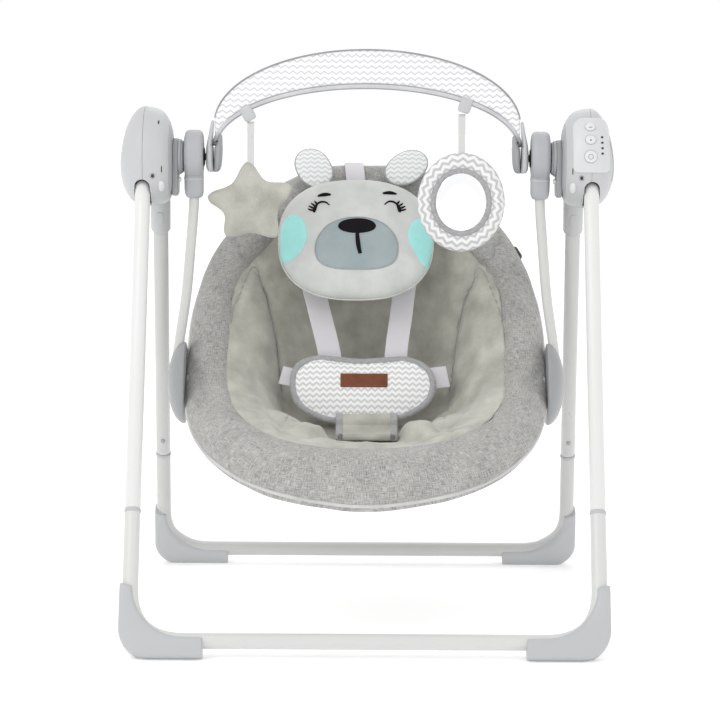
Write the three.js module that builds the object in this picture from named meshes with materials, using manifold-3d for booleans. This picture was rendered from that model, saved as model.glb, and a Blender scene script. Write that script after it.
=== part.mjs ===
// Folding baby swing: A-frame base, two motor housings, hanging recliner seat and toy bar.
// Millimetres, +Z up, +X to the swing's left-hand viewer's right, -Y is the front.
// The origin is on the floor, midway between the four feet.

import * as THREE from 'three';
import { mergeVertices } from 'three/addons/utils/BufferGeometryUtils.js';
import Module from 'manifold-3d';

const wasm = await Module();
wasm.setup();

// ---------------------------------------------------------------- driving dimensions

const GAP = 0.3; // clearance between touching pieces
const V = (x, y, z) => new THREE.Vector3(x, y, z);

const TUBE_R = 9.5; // base frame tube
const TUBE_SIDES = 10;
const BEND_STEPS = 5; // stations in one bend of a U tube
const ARM_STEPS = 8; // steps along a swing arm
const BAR_Z = 20; // height of the crossbars' centre line
const BASE_Y = 287; // crossbars, front and back of the origin
const BEND_R = 65;
const JOINT_Z = 165; // where upper tubes meet the U tubes
const LEG_TOP = { y: 32, z: 540 }; // both legs reach this line, front and back
const FRONT_X = 279;
const REAR_X = { base: 276, top: 262 };
const SNAP_Z = 187;

const AXIS_Z = 575; // swing axis, along X
const HOUSING = { inner: 243, seam: 278, outer: 309.5, z: 575.5, ry: 60, rz: 62.5, wall: 3 };
const PANEL_R = 61; // from the housing's middle to its front face
const BUTTONS = [
  { name: 'timer_button', angle: 43, r: 5.6 },
  { name: 'music_button', angle: 25.5, r: 5.8 },
  { name: 'speed_button', angle: 5.5, r: 7.4 },
];
const BUTTON_X = 276;

const HUB = { inner: 205, outer: 229.3, r: 31, stemX: 217, stemZ: 524 };
const SHAFT_R = 7;
const ARM_R = 6.3;
const HINGE = { z: 289, r: 52, inner: 228, outer: 251 };

const TOY_BAR = { halfSpan: 191, rodZ: 588, rodRise: 77, edgeZ: 617, edgeRise: 93, rodR: 3.1 };
const STAR = { x: -146, z: 516, r: 55 };
const MIRROR = { x: 118, z: 520.5, rx: 55, rz: 62.5 };

const BOLSTER_HALF = 20; // half thickness of the padded rim
const HOOP_R = 6;
const BOWL_DEPTH = 148;
const LINER_WALL = 12;

// ---------------------------------------------------------------- materials

const finish = (color, roughness, metalness = 0) =>
  new THREE.MeshStandardMaterial({ color, roughness, metalness });

const WHITE_PAINT = finish(0xf2f2f0, 0.35);
const SHADED_PAINT = finish(0xe2e3e1, 0.35);
const LIGHT_PLASTIC = finish(0xcfd0d0, 0.5);
const MID_PLASTIC = finish(0xa9abac, 0.5);
const FOOT_PLASTIC = finish(0xbdbfc0, 0.55);
const BUTTON_PLASTIC = finish(0xdadbdb, 0.4);
const STEEL = finish(0x8a8d90, 0.35, 1);
const BOARD = finish(0x1f6b3a, 0.6);
const COPPER = finish(0xb56a35, 0.4, 1);
const MAGNET = finish(0x55585c, 0.4, 1);
const CELL = finish(0x3b3d40, 0.4);
const HEATHER = finish(0xa5a4a1, 0.95);
const VELVET = finish(0xacaca0, 0.9);
const PLUSH = finish(0xcdd0cd, 0.95);
const CHEVRON = finish(0xf0f0ef, 0.9);
const WEBBING = finish(0xe1dee4, 0.85);
const GLASS = finish(0xdfe6ea, 0.05, 1);

// ---------------------------------------------------------------- mesh helpers

// Position-only, welded, without collapsed triangles, faces outward.
function clean(source) {
  const bare = source.clone();
  bare.deleteAttribute('normal');
  bare.deleteAttribute('uv');
  const welded = mergeVertices(bare, 1e-4);
  const p = welded.attributes.position;
  const kept = [];
  let volume = 0;
  const [a, b, c] = [V(), V(), V()];
  for (let i = 0; i < welded.index.count; i += 3) {
    const [ia, ib, ic] = [0, 1, 2].map((k) => welded.index.getX(i + k));
    if (ia === ib || ib === ic || ic === ia) continue;
    kept.push(ia, ib, ic);
    volume += a.fromBufferAttribute(p, ia).dot(b.fromBufferAttribute(p, ib).cross(c.fromBufferAttribute(p, ic)));
  }
  if (volume < 0) kept.reverse();
  welded.setIndex(kept);
  return welded;
}

function solid(source) {
  const g = clean(source);
  const mesh = new wasm.Mesh({
    numProp: 3,
    vertProperties: Float32Array.from(g.attributes.position.array),
    triVerts: Uint32Array.from(g.index.array),
  });
  return new wasm.Manifold(mesh);
}

function geometryOf(manifold) {
  const { vertProperties, triVerts } = manifold.getMesh();
  const g = new THREE.BufferGeometry();
  g.setAttribute('position', new THREE.BufferAttribute(Float32Array.from(vertProperties), 3));
  g.setIndex(Array.from(triVerts));
  return g;
}

const isSolid = (shape) => shape instanceof wasm.Manifold;

function mirrored(shape) {
  const g = (isSolid(shape) ? geometryOf(shape) : shape).clone();
  g.scale(-1, 1, 1);
  return clean(g);
}

const group = new THREE.Group();

function piece(name, shape, material) {
  const g = clean(isSolid(shape) ? geometryOf(shape) : shape);
  g.computeVertexNormals();
  const mesh = new THREE.Mesh(g, material);
  mesh.name = name;
  group.add(mesh);
}

// Built on the +X side; its twin is the mirror image.
function pair(name, shape, material) {
  piece(`${name}_right`, shape, material);
  piece(`${name}_left`, mirrored(shape), material);
}

// ---------------------------------------------------------------- shape helpers

// Skin over rings of equal length; closed joins the last ring to the first.
function loft(rings, closed = false) {
  const n = rings[0].length;
  const points = rings.flat();
  const index = [];
  const spans = closed ? rings.length : rings.length - 1;
  for (let i = 0; i < spans; i += 1) {
    const next = (i + 1) % rings.length;
    for (let j = 0; j < n; j += 1) {
      const k = (j + 1) % n;
      const [a, b, c, d] = [i * n + j, i * n + k, next * n + k, next * n + j];
      index.push(a, b, c, a, c, d);
    }
  }
  if (!closed) {
    for (const [ring, flip] of [[0, true], [rings.length - 1, false]]) {
      const hub = points.length;
      points.push(rings[ring].reduce((sum, p) => sum.add(p), V(0, 0, 0)).divideScalar(n));
      for (let j = 0; j < n; j += 1) {
        const [a, b] = [ring * n + j, ring * n + ((j + 1) % n)];
        index.push(hub, flip ? b : a, flip ? a : b);
      }
    }
  }
  const g = new THREE.BufferGeometry().setFromPoints(points);
  g.setIndex(index);
  return g;
}

function disc(radius, sides) {
  const turn = (i) => (2 * Math.PI * (i + 0.5)) / sides;
  const at = (i) => new THREE.Vector2(radius * Math.cos(turn(i)), radius * Math.sin(turn(i)));
  return new THREE.Shape(Array.from({ length: sides }, (_, i) => at(i)));
}

function tube(curve, radius, steps, sides = TUBE_SIDES) {
  return new THREE.ExtrudeGeometry(disc(radius, sides), { steps, extrudePath: curve, bevelEnabled: false });
}

// Straights and bends end to end, with as many stations in each as its shape needs.
class JoinedPath extends THREE.Curve {
  constructor(parts) {
    super();
    this.parts = parts;
    this.stations = parts.reduce((sum, part) => sum + part.steps, 0);
  }

  getPoint(t) {
    let left = t * this.stations;
    const part = this.parts.find(({ steps }) => {
      if (left <= steps) return true;
      left -= steps;
      return false;
    }) ?? this.parts.at(-1);
    return part.curve.getPoint(Math.min(left / part.steps, 1));
  }

  getUtoTmapping(u) {
    return u;
  }
}

// Round bar between two points.
const rod = (a, b, radius, sides = TUBE_SIDES) => tube(new THREE.LineCurve3(a, b), radius, 1, sides);

// Profile of [x, radius] points turned about the line y = 0, z = axisZ.
function turnedX(profile, segments, axisZ = AXIS_Z) {
  const g = new THREE.LatheGeometry(profile.map(([x, r]) => new THREE.Vector2(r, x)), segments);
  return g.rotateZ(-Math.PI / 2).translate(0, 0, axisZ);
}

function box(low, high) {
  const size = high.clone().sub(low);
  const middle = low.clone().add(high).multiplyScalar(0.5);
  return new THREE.BoxGeometry(size.x, size.y, size.z).translate(middle.x, middle.y, middle.z);
}

function roundedRect(width, height, radius) {
  const [w, h] = [width / 2, height / 2];
  const s = new THREE.Shape();
  s.moveTo(-w + radius, -h);
  s.lineTo(w - radius, -h);
  s.absarc(w - radius, -h + radius, radius, -Math.PI / 2, 0);
  s.lineTo(w, h - radius);
  s.absarc(w - radius, h - radius, radius, 0, Math.PI / 2);
  s.lineTo(-w + radius, h);
  s.absarc(-w + radius, h - radius, radius, Math.PI / 2, Math.PI);
  s.lineTo(-w, -h + radius);
  s.absarc(-w + radius, -h + radius, radius, Math.PI, 1.5 * Math.PI);
  return s;
}

// Flat webbing through points; its width lies along `across` as far as the path lets it.
function strip(points, across, width, thickness, steps) {
  const curve = new THREE.CatmullRomCurve3(points);
  const rings = [];
  for (let i = 0; i <= steps; i += 1) {
    const at = curve.getPointAt(i / steps);
    const along = curve.getTangentAt(i / steps);
    const side = across.clone().addScaledVector(along, -across.dot(along)).normalize();
    const up = V().crossVectors(along, side);
    const corner = (w, t) => at.clone().addScaledVector(side, (w * width) / 2).addScaledVector(up, (t * thickness) / 2);
    rings.push([corner(-1, -1), corner(1, -1), corner(1, 1), corner(-1, 1)]);
  }
  return loft(rings);
}

// ---------------------------------------------------------------- base frame

const LEAN = Math.atan((BASE_Y - LEG_TOP.y) / (LEG_TOP.z - BAR_Z));

// Point on a right-hand leg's centre line at height z; side is -1 at the front, 1 at the back.
function legPoint(side, z) {
  const t = (z - BAR_Z) / (LEG_TOP.z - BAR_Z);
  const x = side < 0 ? FRONT_X : REAR_X.base + (REAR_X.top - REAR_X.base) * t;
  return V(x, side * (BASE_Y + (LEG_TOP.y - BASE_Y) * t), z);
}

// U tube: both joints, both bends and the crossbar between them.
function lowerTubePath(side) {
  const foot = legPoint(side, BAR_Z);
  const joint = legPoint(side, JOINT_Z - GAP / 2);
  const up = joint.clone().sub(foot).normalize();
  const bendTop = foot.clone().addScaledVector(up, BEND_R);
  const bendIn = foot.clone().setX(foot.x - BEND_R);
  const left = (p) => p.clone().setX(-p.x);
  const line = (a, b) => ({ curve: new THREE.LineCurve3(a, b), steps: 1 });
  const bend = (a, corner, b) => ({ curve: new THREE.QuadraticBezierCurve3(a, corner, b), steps: BEND_STEPS });
  return new JoinedPath([line(joint, bendTop), bend(bendTop, foot, bendIn), line(bendIn, left(bendIn)),
    bend(left(bendIn), left(foot), left(bendTop)), line(left(bendTop), left(joint))]);
}

function lowerTubeBody(side, radius) {
  const path = lowerTubePath(side);
  return solid(tube(path, radius, path.stations));
}

const PLUG = { r: 7.4, length: 12 };

// Swaged plug at a joint, from inside the U tube to inside the upper tube.
function plug(side, radius, reach) {
  return rod(legPoint(side, JOINT_Z - 8), legPoint(side, JOINT_Z + reach), radius);
}

function lowerTube(side) {
  const right = plug(side, PLUG.r, PLUG.length);
  return lowerTubeBody(side, TUBE_R).add(solid(right)).add(solid(mirrored(right)));
}

function upperTube(side, topZ) {
  const body = solid(rod(legPoint(side, JOINT_Z + GAP / 2), legPoint(side, topZ), TUBE_R));
  return body.subtract(solid(plug(side, PLUG.r + GAP, PLUG.length + 1)));
}

// Snap button in the side of a rear upper tube that faces the seat.
const snapAxis = V(0, -Math.cos(LEAN), -Math.sin(LEAN));
function snapPin(radius, inner, outer) {
  const at = legPoint(1, SNAP_Z);
  return rod(at.clone().addScaledVector(snapAxis, inner), at.clone().addScaledVector(snapAxis, outer), radius, 10);
}

// Corner foot: an L that wraps the outside of the bend, flat underneath.
const FOOT = { along: 101, up: 68, out: 13, inner: 4, half: 13.5, corner: 46 };
function foot(side) {
  const centre = legPoint(side, BAR_Z);
  const outer = centre.x + FOOT.out;
  const inner = centre.x - FOOT.inner;
  const bottom = -34;
  const s = new THREE.Shape();
  s.moveTo(outer - FOOT.along, bottom);
  s.lineTo(outer - FOOT.corner, bottom);
  s.absarc(outer - FOOT.corner, bottom + FOOT.corner, FOOT.corner, -Math.PI / 2, 0);
  s.lineTo(outer, FOOT.up);
  s.lineTo(inner, FOOT.up);
  s.absarc(centre.x - BEND_R, BEND_R, BEND_R - FOOT.inner, 0, -Math.PI / 2, true);
  s.lineTo(outer - FOOT.along, FOOT.inner);
  const slab = new THREE.ExtrudeGeometry(s, { depth: 2 * FOOT.half - 4, bevelSize: 2, bevelThickness: 2,
    bevelOffset: -2, bevelSegments: 1, curveSegments: 6 });
  slab.translate(0, 0, 2 - FOOT.half).rotateX(Math.PI / 2).rotateX(side * LEAN);
  slab.translate(0, side * BASE_Y, BAR_Z);
  const floor = box(V(-400, -400, -200), V(400, 400, 0));
  return solid(slab).subtract(solid(floor)).subtract(lowerTubeBody(side, TUBE_R + GAP));
}

// ---------------------------------------------------------------- housings

// Right housing grown by `out`: flat inner face, rounded outer dome that leans in towards the top.
function housingSolid(out, sides = 22) {
  const depth = HOUSING.outer - HOUSING.seam + out;
  const inner = [[0, 0.8], [3, 0.9], [12, 0.97], [35, 1]];
  const dome = [25, 48, 67, 83].map((deg) => (deg * Math.PI) / 180);
  const ring = (scale, xOf) => Array.from({ length: sides }, (_, i) => {
    const a = (2 * Math.PI * i) / sides;
    const y = (HOUSING.ry + out) * scale * Math.cos(a) * (1 - 0.08 * Math.sin(a));
    const z = (HOUSING.rz + out) * scale * Math.sin(a);
    return V(xOf(z), y, HOUSING.z + z);
  });
  const rings = inner.map(([x, scale]) => ring(scale, () => HOUSING.inner - out + x * (1 + out / 35)));
  for (const a of dome) {
    const lean = (z) => 1 - 0.3 * Math.max(0, (z + 20) / 85) ** 1.5;
    rings.push(ring(Math.cos(a) ** 0.75, (z) => HOUSING.seam + depth * Math.sin(a) * lean(z)));
  }
  return solid(loft(rings));
}

const FAR = 400;
const innerSide = solid(box(V(0, -FAR, 0), V(HOUSING.seam - GAP / 2, FAR, 2 * FAR)));
const outerSide = solid(box(V(HOUSING.seam + GAP / 2, -FAR, 0), V(FAR, FAR, 2 * FAR)));
const housing = housingSolid(0);
const cavity = housingSolid(-HOUSING.wall, 16);

// The space that the front leg sweeps inside the housing as the frame folds.
const FOLD_DEG = 40;
function legSweep() {
  const pivot = legPoint(-1, LEG_TOP.z);
  const half = TUBE_R + 1;
  let sweep = solid(rod(V(pivot.x - half, pivot.y, pivot.z), V(pivot.x + half, pivot.y, pivot.z), half + 2, 12));
  for (let turn = 0; turn <= FOLD_DEG; turn += FOLD_DEG / 4) {
    const blade = box(V(-half, -half, -110), V(half, half, 0));
    blade.rotateX(-LEAN + THREE.MathUtils.degToRad(turn)).translate(pivot.x, pivot.y, pivot.z);
    sweep = sweep.add(solid(blade));
  }
  return sweep;
}

const along = (x, y, z, dir, from, to, radius, sides = 16) =>
  solid(rod(V(x, y, z).addScaledVector(dir, from), V(x, y, z).addScaledVector(dir, to), radius, sides));
const X_DIR = V(1, 0, 0);
const Y_DIR = V(0, 1, 0);

const FOLD_BUTTON = { x: 255, z: 541, r: 6 };
const BEARING = { outer: 10.2, from: 243.6, to: 251.5 };
const DC_INLET = { x: 262, z: 590, r: 5.6, hole: 3.3, from: 44, to: 60 };

function innerShell() {
  const rearEntry = legPoint(1, 478);
  const rearTop = legPoint(1, 560);
  let shell = housing.subtract(cavity).intersect(innerSide);
  const sleeve = solid(rod(rearEntry, legPoint(1, 530), TUBE_R + 3.2, 16)).subtract(cavity).intersect(innerSide);
  const boss = along(0, 0, AXIS_Z, X_DIR, HOUSING.inner + 1, BEARING.to + 1, BEARING.outer + 4, 14);
  shell = shell.add(sleeve).add(boss);
  shell = shell.subtract(solid(rod(legPoint(1, 470), rearTop, TUBE_R + GAP)));
  shell = shell.subtract(legSweep());
  shell = shell.subtract(along(0, 0, AXIS_Z, X_DIR, HOUSING.inner - 5, BEARING.to + 5, BEARING.outer + GAP, 14));
  return shell.subtract(along(FOLD_BUTTON.x, 0, FOLD_BUTTON.z, Y_DIR, -80, -20, FOLD_BUTTON.r + GAP, 14));
}

const buttonDir = (angle) => V(0, -Math.cos(THREE.MathUtils.degToRad(angle)), Math.sin(THREE.MathUtils.degToRad(angle)));
const buttonPin = ({ angle, r }, from, to, grow = 0) =>
  along(BUTTON_X, 0, HOUSING.z, buttonDir(angle), from, to, r + grow, 16);

function buttonHoles() {
  return BUTTONS.map((b) => buttonPin(b, PANEL_R - 16, PANEL_R + 10, 0.4)).reduce((a, b) => a.add(b));
}

// Raised plate that follows the housing's front face.
function controlPanel() {
  const outline = roundedRect(44, 66, 13);
  const prism = new THREE.ExtrudeGeometry(outline, { depth: 80, bevelEnabled: false, curveSegments: 3 });
  prism.rotateX(Math.PI / 2).translate(278, -8, 594);
  return housingSolid(2.4).subtract(housingSolid(GAP)).intersect(solid(prism)).subtract(buttonHoles());
}

// The battery opening in the outer shell, grown by `grow`.
function batteryWindow(grow) {
  const outline = roundedRect(62 + 2 * grow, 56 + 2 * grow, 6 + grow);
  const prism = new THREE.ExtrudeGeometry(outline, { depth: 60, bevelEnabled: false, curveSegments: 1 });
  return solid(prism.rotateX(Math.PI / 2).rotateZ(Math.PI / 2).translate(288, 0, HOUSING.z));
}

function batteryPack() {
  const cell = { r: 7, pitch: 14.3, half: 24 };
  let pack = solid(box(V(285, -24, AXIS_Z - cell.half - 1.5), V(294, 24, AXIS_Z - cell.half + 0.5)));
  for (let i = 0; i < 4; i += 1) {
    const y = (i - 1.5) * cell.pitch;
    pack = pack.add(solid(rod(V(289.5, y, AXIS_Z - cell.half), V(289.5, y, AXIS_Z + cell.half), cell.r, 10)));
  }
  return pack;
}

// ---------------------------------------------------------------- swing mechanism

const axleCover = () => turnedX([[233.5, SHAFT_R + 0.4], [230, SHAFT_R + 0.4], [230, 20], [231.5, 22], [235, 22.5],
  [236.5, 31], [239, 34], [242.7, 34.5], [242.7, SHAFT_R + 0.4], [233.5, SHAFT_R + 0.4]], 16);

function armPath() {
  return new THREE.CatmullRomCurve3([V(HUB.stemX, 0, 556), V(HUB.stemX + 0.3, 0, 520), V(222, 0, 460),
    V(227.5, 0, 400), V(235, 0, 350), V(239, 0, 322)]);
}

function swingHub() {
  const { inner, outer, r } = HUB;
  const head = turnedX([[inner, 0], [inner, r - 9], [inner + 2, r - 3], [inner + 6, r], [outer - 6, r],
    [outer - 2, r - 3], [outer, r - 8], [outer, 0]], 16, AXIS_Z + 3);
  const stem = rod(V(HUB.stemX, 0, HUB.stemZ), V(HUB.stemX, 0, AXIS_Z), 10.5, 10);
  return solid(head).add(solid(stem))
    .subtract(solid(tube(armPath(), ARM_R + GAP, ARM_STEPS, 8)))
    .subtract(along(0, 0, AXIS_Z, X_DIR, 219, 235, SHAFT_R + GAP));
}

// Short lever on the shaft's end; its tip passes the coil.
function magnetLever() {
  const arm = box(V(262.5, -6, 553), V(266, 6, AXIS_Z));
  const ring = along(0, 0, AXIS_Z, X_DIR, 260.5, 266, 11);
  const magnet = along(0, 0, 557, X_DIR, 262.5, 268.5, 7.5);
  return solid(arm).add(ring).add(magnet).subtract(along(0, 0, AXIS_Z, X_DIR, 255, 270, SHAFT_R + GAP));
}

function hingeCover() {
  const { inner, outer, r, z } = HINGE;
  const dome = turnedX([[inner, 0], [inner, r - 1], [inner + 6, r], [inner + 12, r - 3], [inner + 17, r - 12],
    [inner + 20.5, r - 26], [outer, r - 42], [outer, 0]], 18, z);
  const socket = rod(V(238, 0, z + 40), V(236.7, 0, z + 64), 8.6, 12);
  return solid(dome).add(solid(socket)).subtract(solid(tube(armPath(), ARM_R + GAP, ARM_STEPS, 8)));
}

// ---------------------------------------------------------------- seat

// Right half of the padded rim from top centre to front centre: outer edge, then inner edge.
const RIM = [
  [[0, 204, 550], [0, 178, 500]],
  [[60, 203, 547], [42, 176, 497]],
  [[116, 187, 524], [86, 163, 482]],
  [[158, 163, 492], [119, 141, 459]],
  [[196, 125, 434], [148, 121, 430]],
  [[210, 82, 377], [166, 96, 397]],
  [[211, 40, 332], [172, 55, 345]],
  [[211, 0, 290], [172, 8, 296]],
  [[210, -62, 250], [164, -50, 268]],
  [[197, -128, 222], [145, -100, 254]],
  [[163, -175, 202], [117, -135, 244]],
  [[121, -208, 188], [86, -155, 238]],
  [[63, -229, 178], [45, -168, 235]],
  [[0, -236, 173], [0, -170, 234]],
];

function rimCurve(edge) {
  const half = RIM.map((row) => V(...row[edge]));
  const other = half.slice(1, -1).reverse().map((p) => V(-p.x, p.y, p.z));
  return new THREE.CatmullRomCurve3([...half, ...other], true, 'centripetal');
}

const rimOuter = rimCurve(0);
const rimInner = rimCurve(1);

// Section of the rim at t (0 top, 0.5 front): centre, half width vector and the normal that faces the child.
function rimSection(t) {
  const [outer, inner] = [rimOuter.getPoint(t), rimInner.getPoint(t)];
  const centre = outer.clone().add(inner).multiplyScalar(0.5);
  const half = outer.clone().sub(inner).multiplyScalar(0.5);
  const tangent = rimOuter.getTangent(t);
  const normal = V().crossVectors(tangent, half).normalize();
  return { centre, half, normal };
}

// Padded rim: an oval section carried round the rim, grown by `out`.
function bolster(out = 0) {
  const [stations, sides] = [32, 8];
  const rings = Array.from({ length: stations }, (_, i) => {
    const { centre, half, normal } = rimSection(i / stations);
    const [wide, thick] = [1 + out / half.length(), BOLSTER_HALF + out];
    return Array.from({ length: sides }, (__, j) => {
      const a = (2 * Math.PI * j) / sides;
      return centre.clone().addScaledVector(half, wide * Math.cos(a)).addScaledVector(normal, thick * Math.sin(a));
    });
  });
  return loft(rings, true);
}

// Hoop tube behind the rim between two stations.
function hoop(from, to, radius, steps) {
  const points = Array.from({ length: 17 }, (_, i) => {
    const { centre, half, normal } = rimSection((((from + (i / 16) * (to - from)) % 1) + 1) % 1);
    return centre.addScaledVector(half, 0.35).addScaledVector(normal, -(BOLSTER_HALF + HOOP_R + 1.5));
  });
  return tube(new THREE.CatmullRomCurve3(points), radius, steps, 8);
}

const HUB_T = 7 / 26; // rim station beside the recline hinge
const backHoop = (radius) => hoop(-HUB_T + 0.002, HUB_T - 0.002, radius, 18);
const frontHoop = (radius) => hoop(HUB_T + 0.002, 1 - HUB_T - 0.002, radius, 16);

function seatHub() {
  const plate = turnedX([[213.8, 0], [213.8, 43], [216, 45], [HINGE.inner - 1, 45], [HINGE.inner - 1, 0]], 16, HINGE.z);
  const sleeve = hoop(HUB_T - 0.026, HUB_T + 0.026, HOOP_R + 4, 2);
  const bridge = hoop(HUB_T - 0.012, HUB_T + 0.012, HOOP_R + 3, 2).translate(9, 0, 0);
  return solid(plate).add(solid(sleeve)).add(solid(bridge)).subtract(solid(backHoop(HOOP_R + GAP)))
    .subtract(solid(frontHoop(HOOP_R + GAP))).subtract(solid(bolster(2 * GAP)));
}

// Bowl hung from the rim's inner edge. fall 0 is the rim, 1 the middle.
const BOWL_MIDDLE = V(0, 4, 366);
const BOWL_DOWN = V(0, 0.604, -0.797);
function bowlPoint(t, fall, inset, depth) {
  const edge = rimInner.getPoint(t);
  const { half } = rimSection(t);
  const start = edge.addScaledVector(half.normalize(), -inset);
  return start.lerp(BOWL_MIDDLE, fall).addScaledVector(BOWL_DOWN, depth * (1 - (1 - fall) ** 2.2));
}

function liner() {
  const stations = 20;
  const falls = [0, 0.12, 0.3, 0.55, 0.85];
  const ring = (fall, inset, depth) =>
    Array.from({ length: stations }, (_, i) => bowlPoint(i / stations, fall, inset, depth));
  const outside = falls.map((fall) => ring(fall, 2, BOWL_DEPTH)).reverse();
  const inside = falls.map((fall) => ring(fall, 2 + LINER_WALL, BOWL_DEPTH - LINER_WALL));
  return loft([...outside, ...inside]);
}

// Local frame of the head pillow: along the seat back, and out of it.
const BACK_UP = V(0, 0.616, 0.788);
const BACK_OUT = V(0, -0.788, 0.616);
const PILLOW = { x: -12, s: 196, h: 37, halfWidth: 97, halfHeight: 88, halfDepth: 31 };
const onBack = (x, s, h) => V(x, 0, HINGE.z).addScaledVector(BACK_UP, s).addScaledVector(BACK_OUT, h);

// Puffed shape whose outline is an oval squared off by the power `square`.
function pillowBlob(x, s, h, halfWidth, halfHeight, halfDepth, segments, square = 2) {
  const g = new THREE.SphereGeometry(1, segments, segments / 2).rotateX(Math.PI / 2);
  const p = g.attributes.position;
  for (let i = 0; i < p.count; i += 1) {
    const [px, py] = [p.getX(i), p.getY(i)];
    const round = Math.hypot(px, py);
    const grow = round > 1e-6 ? round / (Math.abs(px) ** square + Math.abs(py) ** square) ** (1 / square) : 1;
    const at = onBack(x + px * grow * halfWidth, s + py * grow * halfHeight, h + p.getZ(i) * halfDepth);
    p.setXYZ(i, at.x, at.y, at.z);
  }
  return solid(g);
}

function pillow() {
  const { x, s, h, halfWidth, halfHeight, halfDepth } = PILLOW;
  const ear = (dx) => pillowBlob(x + dx, s + 102, h, 23, 30, 9, 10);
  return pillowBlob(x, s, h, halfWidth, halfHeight, halfDepth, 16, 2.6).add(ear(-58)).add(ear(60));
}

// Local frame of the belly pad: up along it and out of its face.
const PAD_TILT = THREE.MathUtils.degToRad(25);
const PAD_UP = V(0, Math.sin(PAD_TILT), Math.cos(PAD_TILT));
const PAD_OUT = V(0, -Math.cos(PAD_TILT), Math.sin(PAD_TILT));
const PAD = { x: -6, y: 22, z: 281, width: 178, height: 80, thickness: 14 };
const onPad = (x, up, out) => V(PAD.x + x, PAD.y, PAD.z).addScaledVector(PAD_UP, up).addScaledVector(PAD_OUT, out);

function bellyPad() {
  const g = new THREE.ExtrudeGeometry(roundedRect(PAD.width, PAD.height, PAD.height / 2 - 1), {
    depth: PAD.thickness - 6, bevelSize: 4, bevelThickness: 3, bevelOffset: -4, bevelSegments: 1, curveSegments: 3 });
  g.translate(0, 0, 3 - PAD.thickness / 2).rotateX(Math.PI / 2 - PAD_TILT);
  return g.translate(PAD.x, PAD.y, PAD.z);
}

const STRAP = { width: 26, thickness: 2.4, behindPad: -(PAD.thickness / 2 + 3) };

function shoulderStrap(xTop, xBottom) {
  const mid = (xTop + xBottom) / 2;
  const path = [V(xTop, 112, 425), V(mid, 84, 376), onPad(xBottom - PAD.x, 42, STRAP.behindPad - 4),
    onPad(xBottom - PAD.x + 2, 0, STRAP.behindPad)];
  return strip(path, X_DIR, STRAP.width, STRAP.thickness, 10);
}

// Shoulder straps joined to the waist belt behind the belly pad.
function harness() {
  const belt = strip([V(-114, 52, 289), onPad(-88, 2, -16), onPad(-60, 0, STRAP.behindPad), onPad(0, 0, STRAP.behindPad),
    onPad(60, 0, STRAP.behindPad), onPad(88, 2, -16), V(106, 52, 289)], PAD_UP, 22, STRAP.thickness, 16);
  return solid(belt).add(solid(shoulderStrap(-76, -46))).add(solid(shoulderStrap(52, 38)));
}

function crotchStrap() {
  const path = [onPad(0, -46, -1), V(PAD.x, -17, 233), V(PAD.x, -33, 228.5)];
  return strip(path, X_DIR, 60, 8, 4);
}

// ---------------------------------------------------------------- toy bar

const archBow = (angle, amount) => amount * Math.sin(angle) ** 2;
function archPoint(angle, z, rise, bow) {
  return V(TOY_BAR.halfSpan * Math.cos(angle), archBow(angle, bow), z + rise * Math.sin(angle));
}
const rodPoint = (angle) => archPoint(angle, TOY_BAR.rodZ, TOY_BAR.rodRise, -16);
const edgePoint = (angle) => archPoint(angle, TOY_BAR.edgeZ, TOY_BAR.edgeRise, 8);

function arc(pointAt, from, to, radius, steps) {
  const points = Array.from({ length: steps + 1 }, (_, i) => pointAt(from + ((to - from) * i) / steps));
  return tube(new THREE.CatmullRomCurve3(points), radius, steps, 7);
}

const ROD_END = 0.02;
const lowerRod = (radius) => arc(rodPoint, ROD_END, Math.PI - ROD_END, radius, 20);

// Crescent of fabric above the rod.
function archFabric() {
  const [from, half, steps] = [0.4, 1.8, 20];
  const rings = Array.from({ length: steps + 1 }, (_, i) => {
    const angle = from + ((Math.PI - 2 * from) * i) / steps;
    const [low, high] = [rodPoint(angle), edgePoint(angle)];
    const up = high.clone().sub(low).normalize();
    low.addScaledVector(up, TOY_BAR.rodR + 1);
    const edge = (p, dy) => p.clone().add(V(0, dy, 0));
    return [edge(low, -half), edge(high, -half), edge(high, half), edge(low, half)];
  });
  return loft(rings);
}

function toyBarClip() {
  const s = new THREE.Shape();
  s.absarc(0, 0, 19, Math.PI, 2 * Math.PI);
  s.lineTo(12, 38);
  s.absarc(4, 38, 8, 0, Math.PI / 2);
  s.absarc(-4, 38, 8, Math.PI / 2, Math.PI);
  const g = new THREE.ExtrudeGeometry(s, { depth: 16, bevelSize: 2, bevelThickness: 2, bevelOffset: -2,
    bevelSegments: 1, curveSegments: 4 });
  g.rotateX(Math.PI / 2).rotateZ(Math.PI / 2).translate(184.5, 0, AXIS_Z);
  const pin = rod(V(200, 0, AXIS_Z), V(HUB.inner - GAP, 0, AXIS_Z), 5, 12);
  return solid(g).add(solid(pin)).subtract(solid(lowerRod(TOY_BAR.rodR + GAP)));
}

// C-shaped clip under the rod.
function toyClip(x) {
  const at = rodPoint(Math.acos(x / TOY_BAR.halfSpan));
  const block = box(V(x - 8, at.y - 6.5, at.z - 17), V(x + 8, at.y + 6.5, at.z - 1));
  return solid(block).subtract(solid(lowerRod(TOY_BAR.rodR + GAP)));
}

const toyY = (x) => rodPoint(Math.acos(x / TOY_BAR.halfSpan)).y;

// Reaches up to its clip, with room to turn under it.
function toyStrap(x, bottomZ) {
  const top = rodPoint(Math.acos(x / TOY_BAR.halfSpan)).z - 17 - 3 * GAP;
  const y = toyY(x);
  return solid(box(V(x - 4.5, y - 1, bottomZ), V(x + 4.5, y + 1, top)));
}

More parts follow.
